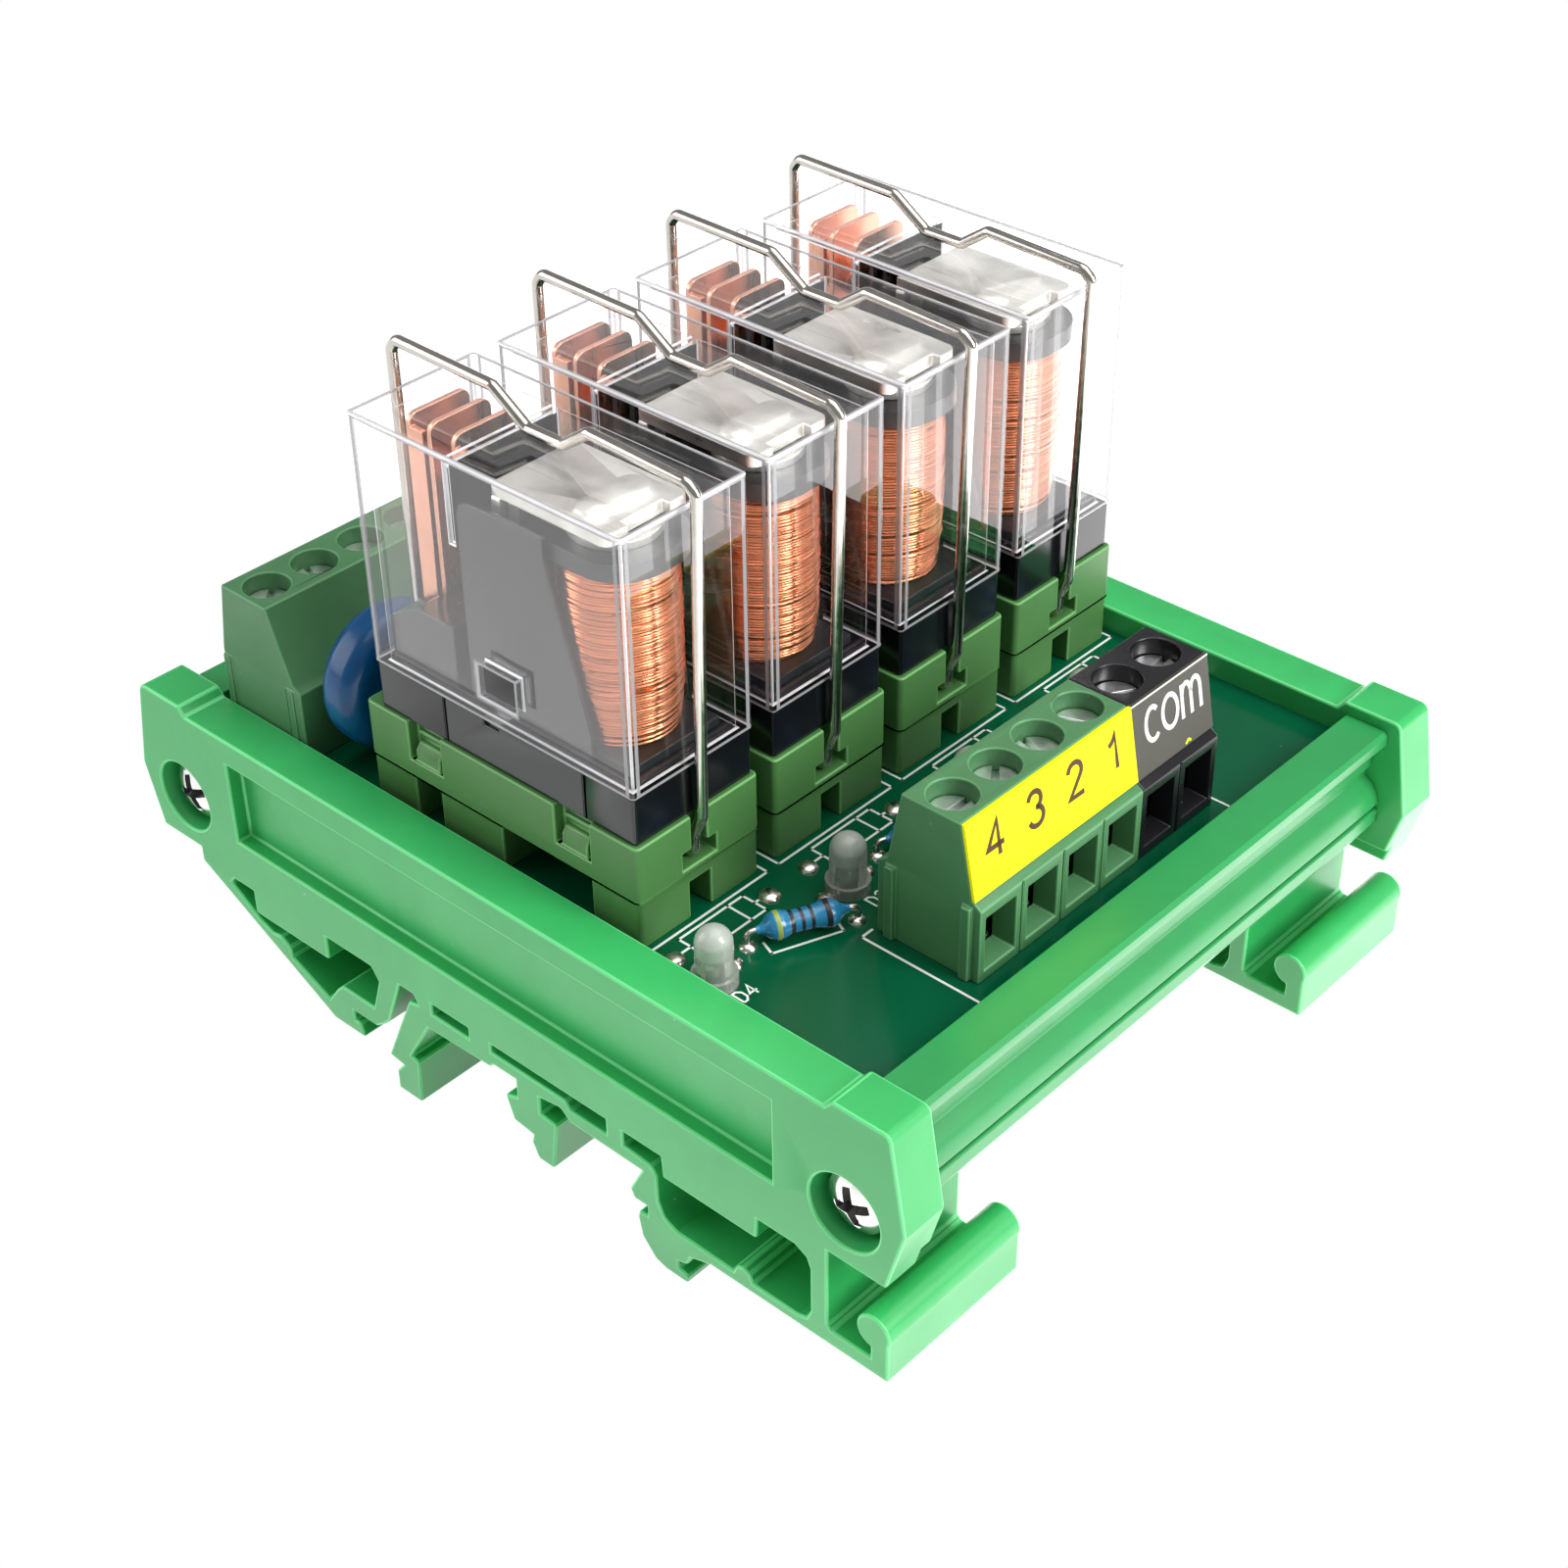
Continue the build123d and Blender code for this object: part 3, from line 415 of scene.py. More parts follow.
def clear_plastic(name, colour, tint, rough, index, through, **coat):
    """Clear plastic, which the rays of shadows and of soft light pass without bending."""
    glass = {"Base_Color": opaque(colour), "Roughness": rough, "IOR": index, "Transmission_Weight": through}
    material = finish(name, **glass, **coat)
    tree = material.node_tree
    shader = tree.nodes["Principled BSDF"]
    out = tree.nodes["Material Output"]
    path = put(tree, "ShaderNodeLightPath")
    straight = put(tree, "ShaderNodeBsdfTransparent", {"Color": opaque(tint)})
    share = maths(tree, "MAXIMUM", path.outputs["Is Shadow Ray"], path.outputs["Is Diffuse Ray"])
    mixed = put(tree, "ShaderNodeMixShader", {0: share, 1: shader.outputs[0], 2: straight.outputs[0]})
    tree.links.new(mixed.outputs[0], out.inputs["Surface"])
    return material


def lighter(colour, lift, white):
    """The colour of a thin rounded edge: a paler copy of the wall's colour, painted on as a highlight along
    the rounding.
    """
    return tuple(min(1.0, part * lift + white) for part in colour)


def make_materials(settings):
    """Builds the shared groups and every finish once, and returns the finishes by name."""
    moulded_plastic_group()
    worked_metal_group()
    wire_turns_group()
    carrier = settings.carrier.colour
    socket = (0.068, 0.205, 0.054)
    green = settings.terminal.plastic
    copper = settings.relay.copper
    return {
        "carrier": plastic(
            "carrier plastic",
            carrier,
            0.36,
            shade=0.86,
            flow=90.0,
            dust=0.5,
            Subsurface_Weight=0.5,
            Subsurface_Radius=(0.25, 1.0, 0.4),
            Subsurface_Scale=1.3 * MM,
        ),
        # The carrier's rounded edges take a paler green: a painted highlight.
        "carrier edge highlight": plastic("carrier edge highlight", lighter(carrier, 1.35, 0.08), 0.34, shade=0.92),
        # The profile takes the carrier green darkened to two thirds: painted shade on the same plastic as the
        # end plates.
        "profile": plastic("carrier plastic shaded", scaled(carrier, 0.66), 0.33, shade=0.86, flow=90.0, dust=0.6),
        "socket": plastic("socket plastic", socket, 0.48, shade=0.88),
        # The socket's rounded edges, the seam groove's too, take a paler green: a painted highlight.
        "socket edge highlight": plastic("socket edge highlight", lighter(socket, 1.7, 0.03), 0.45, shade=0.92),
        "terminal": plastic("terminal plastic", green, 0.50, shade=0.86),
        # The terminal housings' rounded edges take a paler green: a painted highlight.
        "terminal edge highlight": plastic("terminal edge highlight", lighter(green, 1.35, 0.02), 0.45, shade=0.92),
        "base": plastic("relay base plastic", (0.006, 0.006, 0.009), 0.17, shade=0.7, swing=0.05),
        "inside": plastic("relay inside plastic", (0.016, 0.017, 0.020), 0.34, shade=0.7),
        "black terminal": plastic("black terminal plastic", (0.009, 0.009, 0.011), 0.27, shade=0.7),
        "mask": plastic(
            "solder mask",
            settings.board.mask,
            0.16,
            shade=0.78,
            flow=60.0,
            swing=0.04,
            bump=0.0,
            Specular_IOR_Level=0.22,
        ),
        "legend": plastic("legend ink", (0.78, 0.80, 0.76), 0.5, shade=0.9),
        "wire": metal("clip wire", (0.52, 0.49, 0.45), (0.25, 0.22, 0.19), 0.16, scale=1500.0, amount=0.3),
        "plated": metal("plated screw", (0.74, 0.73, 0.72), (0.45, 0.44, 0.42), 0.16, amount=0.25),
        # Near black plating for the walls of the screws' cross recesses: painted shade.
        "recess": metal("screw recess shade", (0.035, 0.033, 0.032), (0.02, 0.02, 0.02), 0.45, amount=0.3),
        "terminal screw": metal("terminal screw", (0.95, 0.96, 0.94), (0.55, 0.56, 0.54), 0.30, amount=0.25),
        "clamp": metal("wire clamp", (0.20, 0.20, 0.20), (0.10, 0.10, 0.10), 0.35, amount=0.4),
        "solder": metal("solder", (0.66, 0.62, 0.59), (0.26, 0.20, 0.17), 0.20, scale=700.0, amount=0.7),
        "relay steel": metal(
            "relay steel",
            (0.74, 0.72, 0.67),
            (0.40, 0.38, 0.34),
            0.30,
            stretch=(1.0, 0.15, 1.0),
            scale=600.0,
            amount=0.5,
            bump=0.01 * MM,
        ),
        "contact": metal(
            "contact copper",
            (0.70, 0.35, 0.24),
            (0.46, 0.19, 0.11),
            0.27,
            stretch=(1.0, 1.0, 0.1),
            scale=700.0,
            amount=0.45,
        ),
        "winding": finish(
            "enamelled wire",
            "Wire Turns",
            {
                "Colour": opaque(copper),
                "Gap": opaque(scaled(copper, 0.34)),
                "Pitch": settings.relay.wire_pitch,
                "Roughness": 0.13,
            },
            Metallic=0.92,
            Coat_Weight=0.35,
            Coat_Roughness=0.12,
        ),
        "disc": plastic(
            "disc lacquer",
            (0.0010, 0.078, 0.230),
            0.30,
            shade=0.6,
            flow=220.0,
            bump=0.03 * MM,
            Specular_IOR_Level=0.25,
            Coat_Weight=0.15,
            Coat_Roughness=0.10,
        ),
        "resistor body": plastic(
            "resistor lacquer",
            (0.020, 0.215, 0.420),
            0.24,
            shade=0.7,
            flow=900.0,
            Coat_Weight=0.3,
        ),
        "dark band": plastic("dark band", (0.018, 0.016, 0.020), 0.3),
        "gold band": plastic("green gold band", (0.34, 0.42, 0.07), 0.3),
        "yellow label": plastic(
            "yellow label",
            (0.96, 0.90, 0.002),
            0.42,
            shade=0.96,
            dust=0.0,
            Specular_IOR_Level=0.15,
        ),
        "grey label": plastic("grey label", (0.052, 0.048, 0.036), 0.45, shade=0.85, Specular_IOR_Level=0.3),
        "dark ink": plastic("dark ink", (0.070, 0.030, 0.006), 0.5, Specular_IOR_Level=0.2),
        "white ink": plastic("white ink", (0.84, 0.84, 0.82), 0.45, shade=0.92),
        "cover": clear_plastic(
            "clear cover",
            (0.985, 0.985, 0.99),
            (0.93, 0.93, 0.94),
            0.0,
            1.0,
            1.0,
            Coat_Weight=1.0,
            Coat_IOR=1.49,
            Coat_Roughness=0.015,
        ),
        # The cover's rounded edges take a whitish, less clear plastic: a painted highlight in place of the
        # light the rounding catches.
        "cover edge highlight": clear_plastic(
            "cover edge highlight",
            (0.80, 0.80, 0.82),
            (0.80, 0.80, 0.81),
            0.20,
            1.49,
            0.35,
            Coat_Weight=1.0,
            Coat_Roughness=0.12,
        ),
        # A grey, less clear band along the cover's outer edges: painted shade where the edges of the walls
        # look dark.
        "cover rim shade": clear_plastic(
            "cover rim shade",
            (0.44, 0.43, 0.45),
            (0.75, 0.75, 0.76),
            0.0,
            1.0,
            0.35,
            Coat_Weight=1.0,
            Coat_IOR=1.49,
            Coat_Roughness=0.05,
        ),
        "lens": clear_plastic("clear lens", (0.84, 0.87, 0.80), (0.80, 0.82, 0.78), 0.07, 1.45, 0.72),
        "lens core": plastic("milky core", (0.27, 0.33, 0.29), 0.45, shade=0.88, flow=500.0),
    }


# Pieces


def add_object(name, data):
    made = bpy.data.objects.new(name, data)
    bpy.context.scene.collection.objects.link(made)
    return made


def mesh_of(name, work):
    """Turns a bmesh into a mesh."""
    mesh = bpy.data.meshes.new(name)
    work.to_mesh(mesh)
    work.free()
    return mesh


def keep_piece(name, work, material, body, replaces=(), smooth=35.0):
    """Turns a bmesh into a finished piece that rides on its body."""
    mesh = mesh_of(name, work)
    for surface in material if isinstance(material, (list, tuple)) else (material,):
        mesh.materials.append(surface)
    mesh.shade_smooth()
    mesh.set_sharp_from_angle(angle=math.radians(smooth))
    piece = add_object(name, mesh)
    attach(piece, body)
    if replaces:
        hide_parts(*replaces)
    return piece


def merged_copy(node):
    """The node's triangles as clean faces: doubles merged and flat faces joined."""
    work = bmesh.new()
    work.from_mesh(frame["nodes"][node].data)
    bmesh.ops.remove_doubles(work, verts=work.verts[:], dist=MERGE)
    bmesh.ops.dissolve_limit(work, angle_limit=FLAT_ANGLE, verts=work.verts[:], edges=work.edges[:])
    return work


def mark_rims(work, width):
    """Sets a narrow border on each outer side and on the top apart, for the second finish: a band of painted
    shade.
    """
    low = Vector([min(vert.co[i] for vert in work.verts) for i in range(3)])
    high = Vector([max(vert.co[i] for vert in work.verts) for i in range(3)])
    for axis, level in ((0, low.x), (0, high.x), (1, low.y), (1, high.y), (2, high.z)):
        side = [face for face in work.faces if all(abs(v.co[axis] - level) < MERGE for v in face.verts)]
        border = bmesh.ops.inset_region(work, faces=side, thickness=width, use_even_offset=True)
        for face in border["faces"]:
            face.material_index = 1


def dressed(node, material, rounding=0.0, segments=2, sharp=35.0, smooth=35.0, rim=0.0):
    """A merged copy of the node, in its place, with rounded edges that take its last finish, a painted
    highlight where the node has more than one finish.
    """
    body = frame["nodes"][node]["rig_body"]
    work = merged_copy(node)
    # A border of this width takes the second finish, painted shade along the edges.
    if rim:
        mark_rims(work, rim)
    piece = keep_piece(node + "_finish", work, material, body, (node,), smooth)
    if rounding:
        soft = piece.modifiers.new("Rounding", "BEVEL")
        soft.width = rounding
        soft.segments = segments
        soft.limit_method = "ANGLE"
        soft.angle_limit = math.radians(sharp)
        soft.use_clamp_overlap = False
        soft.harden_normals = True
        # The rounding takes the last finish: on pieces with two or three finishes it is a painted highlight.
        soft.material = len(piece.data.materials) - 1
    return piece


def block(work, low, high):
    """Adds a box between two corners."""
    size = Matrix.Diagonal((*(high - low), 1.0))
    bmesh.ops.create_cube(work, size=1.0, matrix=Matrix.Translation((low + high) / 2) @ size)


def stroke(work, points, width, level, thickness):
    """Adds a printed line through the points, in metres, on a level face."""
    for start, end in zip(points, points[1:]):
        start, end = Vector((*start, 0)), Vector((*end, 0))
        run = end - start
        turn = Matrix.Rotation(math.atan2(run.y, run.x), 4, "Z")
        size = Matrix.Diagonal((run.length + width, width, thickness, 1.0))
        centre = (start + end) / 2 + Vector((0, 0, level + thickness / 2))
        bmesh.ops.create_cube(work, size=1.0, matrix=Matrix.Translation(centre) @ turn @ size)


def lathe(work, outline, steps, matrix=None):
    """Spins an outline of (radius, height) points about Z into a closed skin."""
    ring = [work.verts.new((radius, 0, height)) for radius, height in outline]
    edges = [work.edges.new(pair) for pair in zip(ring, ring[1:])]
    bmesh.ops.spin(
        work,
        geom=ring + edges,
        cent=(0, 0, 0),
        axis=(0, 0, 1),
        angle=2 * math.pi,
        steps=steps,
        use_merge=True,
        use_duplicate=False,
    )
    bmesh.ops.remove_doubles(work, verts=work.verts[:], dist=MERGE)
    bmesh.ops.recalc_face_normals(work, faces=work.faces[:])
    if matrix is not None:
        bmesh.ops.transform(work, matrix=matrix, verts=work.verts[:])


def dome(work, x, y, radius):
    """Adds a solder dome, sunk a little into the board."""
    height = 0.5 * MM
    sink = 0.15 * height
    foot = BOARD_TOP - sink
    matrix = Matrix.Translation((x, y, foot)) @ Matrix.Diagonal((radius, radius, height + sink, 1.0))
    made = bmesh.ops.create_uvsphere(work, u_segments=24, v_segments=12, radius=1.0, matrix=matrix)
    below = [vert for vert in made["verts"] if vert.co.z < foot - MERGE]
    bmesh.ops.delete(work, geom=below, context="VERTS")
    rim = [edge for edge in work.edges if edge.is_boundary]
    bmesh.ops.holes_fill(work, edges=rim, sides=0)


def bow(x, y, across, up, first, last, steps=14):
    """Points on an arc of an ellipse, between two angles in degrees."""
    angles = [math.radians(first + (last - first) * i / steps) for i in range(steps + 1)]
    return [(x + across * math.cos(angle), y + up * math.sin(angle)) for angle in angles]


GLYPHS = {
    "1": (0.42, [[(0.04, 0.70), (0.16, 0.76), (0.25, 0.86), (0.29, 0.97), (0.29, 0.0)]]),
    "2": (0.58, [bow(0.28, 0.72, 0.24, 0.24, 175, -40) + [(0.03, 0.05), (0.54, 0.05)]]),
    "3": (0.58, [bow(0.27, 0.73, 0.22, 0.23, 170, -85), bow(0.27, 0.28, 0.25, 0.25, 85, -165)]),
    "4": (0.60, [[(0.43, 0.0), (0.43, 0.95), (0.04, 0.29), (0.60, 0.29)]]),
    "D": (0.62, [[(0.04, 0), (0.04, 0.95), (0.32, 0.95), (0.55, 0.7), (0.55, 0.25), (0.32, 0), (0.04, 0)]]),
    "c": (0.78, [bow(0.40, 0.47, 0.34, 0.45, 48, 312, 20)]),
    "o": (0.88, [bow(0.43, 0.47, 0.37, 0.45, 0, 360, 26)]),
    "m": (
        1.24,
        [
            [(0.10, 0.0), (0.10, 0.95)],
            [(0.10, 0.60)] + bow(0.33, 0.62, 0.22, 0.30, 150, 0, 8) + [(0.55, 0.0)],
            [(0.55, 0.60)] + bow(0.79, 0.62, 0.23, 0.30, 150, 0, 8) + [(1.02, 0.0)],
        ],
    ),
}


def pen(work, points, width, matrix, thickness):
    """Adds one pen stroke of even width through the points, below the plane that the matrix gives."""
    rails = []
    for i, point in enumerate(points):
        before = Vector(points[max(i - 1, 0)])
        after = Vector(points[min(i + 1, len(points) - 1)])
        here = Vector(point)
        ways = [way.normalized() for way in (here - before, after - here) if way.length > 0]
        along = (ways[0] + ways[-1]).normalized()
        side = Vector((-along.y, along.x))
        reach = width / 2 / max(0.5, abs(side.dot(Vector((-ways[0].y, ways[0].x)))))
        rails.append([work.verts.new((*(here + side * reach * hand), 0)) for hand in (1, -1)])
    faces = [work.faces.new((a[1], b[1], b[0], a[0])) for a, b in zip(rails, rails[1:])]
    sunk = bmesh.ops.extrude_face_region(work, geom=faces)["geom"]
    below = [part for part in sunk if isinstance(part, bmesh.types.BMVert)]
    bmesh.ops.translate(work, vec=(0, 0, -thickness), verts=below)
    bmesh.ops.reverse_faces(work, faces=[part for part in sunk if isinstance(part, bmesh.types.BMFace)])
    bmesh.ops.transform(work, matrix=matrix, verts=[vert for pair in rails for vert in pair] + below)


def written(work, words, height, width, matrix, thickness=LABEL_INK, stretch=1.0, gap=0.14):
    """Adds generic letters or digits as pen strokes, from the lower left corner that the matrix gives."""
    place = 0.0
    for letter in words:
        advance, lines = GLYPHS[letter]
        for line in lines:
            points = [((place + x) * height * stretch, y * height) for x, y in line]
            pen(work, points, width, matrix, thickness)
        place += advance + gap


# Steps


def settings_of(context):
    return context.scene.relay_board


FINISHES = {}


def finishes(context):
    if not FINISHES:
        FINISHES.update(make_materials(settings_of(context)))
    return FINISHES


class RelayBoardCarrier(Operator):
    """Finishes the carrier profile, the end plates and their screws"""

    bl_idname = "relay_board.carrier"
    bl_label = "Rail carrier"

    def execute(self, context):
        look = finishes(context)
        rounding = settings_of(context).carrier.rounding
        dressed("carrier_profile", look["profile"], 0.12 * MM, sharp=50.0)
        for node in ("end_plate_left", "end_plate_right"):
            # The end plates' second finish goes on the rounding as a painted highlight.
            dressed(node, (look["carrier"], look["carrier edge highlight"]), rounding, segments=3, sharp=40.0)
        # The second finish paints shade into the cross recesses.
        screws = dressed("end_plate_screws", (look["plated"], look["recess"]), smooth=40.0)
        self.darken_recess(screws)
        return {"FINISHED"}

    @staticmethod
    def darken_recess(screws):
        """Paints shade into the cross recess of each domed head: its walls take the dark finish."""
        low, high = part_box("end_plate_screws")
        head_radius, dome_radius = 2.65 * MM, 4.8 * MM
        cross_reach, cross_depth, skin = 1.9 * MM, 2.0 * MM, 0.12 * MM
        axis_y = high.y - head_radius
        axis_z = (low.z + high.z) / 2
        for face in screws.data.polygons:
            away = Vector((abs(face.center.y) - axis_y, face.center.z - axis_z)).length
            if away > cross_reach:
                continue
            surface = high.x - dome_radius + math.sqrt(dome_radius**2 - away**2)
            if surface - cross_depth < abs(face.center.x) < surface - skin:
                face.material_index = 1


class RelayBoardCircuit(Operator):
    """Finishes the circuit board with its legend and solder domes"""

    bl_idname = "relay_board.circuit"
    bl_label = "Circuit board"

    # Printed marks of a channel, in millimetres from the relay's middle and the socket's front.
    marks = {
        "diode": ((-3.8, -1.1), (3.4, -1.1), (3.4, -3.65), (-3.8, -3.65), (-3.8, -1.1)),
        "left lead": ((-4.9, -2.4), (-3.8, -2.4)),
        "right lead": ((3.4, -2.4), (4.1, -2.4)),
        "bar": ((1.7, -1.1), (1.7, -3.65)),
        "resistor": ((0.2, -6.3), (-0.3, -7.6), (5.4, -9.9), (6.0, -8.6)),
    }

    def execute(self, context):
        look = finishes(context)
        board = settings_of(context).board
        dressed("circuit_board", look["mask"])
        self.print_legend(look["legend"], board)
        self.add_solder(look["solder"], board)
        return {"FINISHED"}

    def print_legend(self, ink, board):
        """Prints the outlines of the parts, in millimetres, and the lamps' tags."""
        work = bmesh.new()

        def draw(*points):
            stroke(work, [(x * MM, y * MM) for x, y in points], board.line, BOARD_TOP, LEGEND_INK)

        low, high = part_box("relay_socket_1")
        front, back = low.y / MM, high.y / MM
        half, past = 6.95, 0.5
        tag_height, tag_line = 1.35 * MM, 0.17 * MM
        for channel in CHANNELS:
            x = channel_x(channel) / MM
            left, right = x - half, x + half
            draw((left, back + past), (left, front - past), (right, front - past), (right, back + past))
            for mark in self.marks.values():
                draw(*((x + across, front + up) for across, up in mark))
            tag = Matrix.Translation(((x - 5.9) * MM, (front - 9.9) * MM, BOARD_TOP + LEGEND_INK))
            written(work, "D" + str(len(CHANNELS) + 1 - channel), tag_height, tag_line, tag, LEGEND_INK)
        low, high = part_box("input_terminal_block")
        left, top = low.x / MM - 1.1, high.y / MM + 0.25
        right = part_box("common_terminal_block")[1].x / MM + 0.7
        corner, foot = 1.2, -36.5
        draw((left, foot), (left, top), (left + corner, top))
        draw((right - corner, top), (right, top), (right, foot))
        keep_piece("board_legend", work, ink, MODULE)

    @staticmethod
    def add_solder(solder, board):
        """Adds the domes of the diode, the lamp and the resistor of each channel."""
        work = bmesh.new()
        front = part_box("relay_socket_1")[0].y
        lamp_half, lamp_back, lead = 2.35 * MM, 0.3 * MM, 0.35 * MM
        for channel in CHANNELS:
            x = channel_x(channel)
            dome(work, x - 5.76 * MM, front - 2.6 * MM, board.pad * 0.9)
            dome(work, x + 4.8 * MM, front - 2.7 * MM, board.pad)
            lamp = middle(numbered("indicator_led", channel))
            for side in (-1, 1):
                dome(work, lamp.x + side * lamp_half, lamp.y + lamp_back, board.pad * 0.85)
            low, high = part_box(numbered("resistor", channel))
            dome(work, low.x + lead, high.y - lead, board.pad * 0.8)
            dome(work, high.x - lead, low.y + lead, board.pad * 0.8)
        keep_piece("solder_domes", work, solder, MODULE, smooth=60.0)


class RelayBoardSockets(Operator):
    """Finishes the sockets and the wire clips"""

    bl_idname = "relay_board.sockets"
    bl_label = "Sockets and clips"

    def execute(self, context):
        look = finishes(context)
        # The second finish goes on the rounded edges as a painted highlight.
        green = (look["socket"], look["socket edge highlight"])
        for channel in CHANNELS:
            dressed(numbered("relay_socket", channel), green, 0.16 * MM, sharp=50.0)
            dressed(numbered("retaining_clip", channel), look["wire"], smooth=60.0)
        return {"FINISHED"}


class RelayBoardRelays(Operator):
    """Finishes the relays: cover, base, coil, yoke, armature and contacts"""

    bl_idname = "relay_board.relays"
    bl_label = "Relays"

    def execute(self, context):
        look = finishes(context)
        relay = settings_of(context).relay
        chance = random.Random(relay.seed)
        # On each cover the border band is painted shade and the rounded edges are a painted highlight.
        clear = (look["cover"], look["cover rim shade"], look["cover edge highlight"])
        for channel in CHANNELS:
            dressed(numbered("relay_base", channel), look["base"], 0.15 * MM, sharp=50.0)
            dressed(numbered("relay_cover", channel), clear, 0.16 * MM, segments=3, sharp=50.0, rim=0.36 * MM)
            for name, surface, rounding in (
                ("coil_bobbin", "inside", 0.08),
                ("relay_yoke", "relay steel", 0.06),
                ("relay_armature", "relay steel", 0.15),
                ("contact_set", "contact", 0.08),
            ):
                dressed(numbered(name, channel), look[surface], rounding * MM, sharp=50.0)
            self.wind(channel, look["winding"], relay, chance)
        return {"FINISHED"}

    @staticmethod
    def wind(channel, copper, relay, chance):
        """Lathes the turns of one coil, each with its own radius, and roughens them along the turn."""
        node = numbered("coil_winding", channel)
        low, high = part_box(node)
        centre = (low + high) / 2
        outer = (high.x - low.x) / 2 - 0.1 * MM
        inner = outer * 0.62
        bulge, drawn_in, ripple_height = 0.10 * MM, 0.35 * MM, 0.06 * MM
        thinner, thicker = 0.07, 0.05
        turns = int((high.z - low.z) / relay.wire_pitch)
        pitch = (high.z - low.z) / turns
        groove = 0.42 * pitch
        outline = [(inner, low.z - centre.z)]
        for turn in range(turns):
            share = turn / (turns - 1)
            barrel = bulge * math.sin(math.pi * share) - drawn_in * (1 - share) ** 6
            radius = outer + barrel + chance.uniform(-thinner, thicker) * MM
            start = low.z - centre.z + turn * pitch
            outline.append((radius - groove, start + 0.04 * pitch))
            outline.append((radius, start + 0.3 * pitch))
            outline.append((radius, start + 0.7 * pitch))
        outline.append((inner, high.z - centre.z))
        outline.append(outline[0])
        work = bmesh.new()
        lathe(work, outline, 72)
        around, between, apart, datum = 1.6, 0.7, 40.0, 1.0
        for vert in work.verts:
            away = Vector((vert.co.x, vert.co.y, 0)).normalized()
            lane = round((vert.co.z + datum) / pitch)
            ripple = noise.noise(Vector((away.x * around, away.y * around, lane * between + channel * apart)))
            vert.co += away * ripple * ripple_height
        bmesh.ops.translate(work, vec=centre, verts=work.verts[:])
        keep_piece(numbered("coil_turns", channel), work, copper, MODULE, (node,), smooth=80.0)


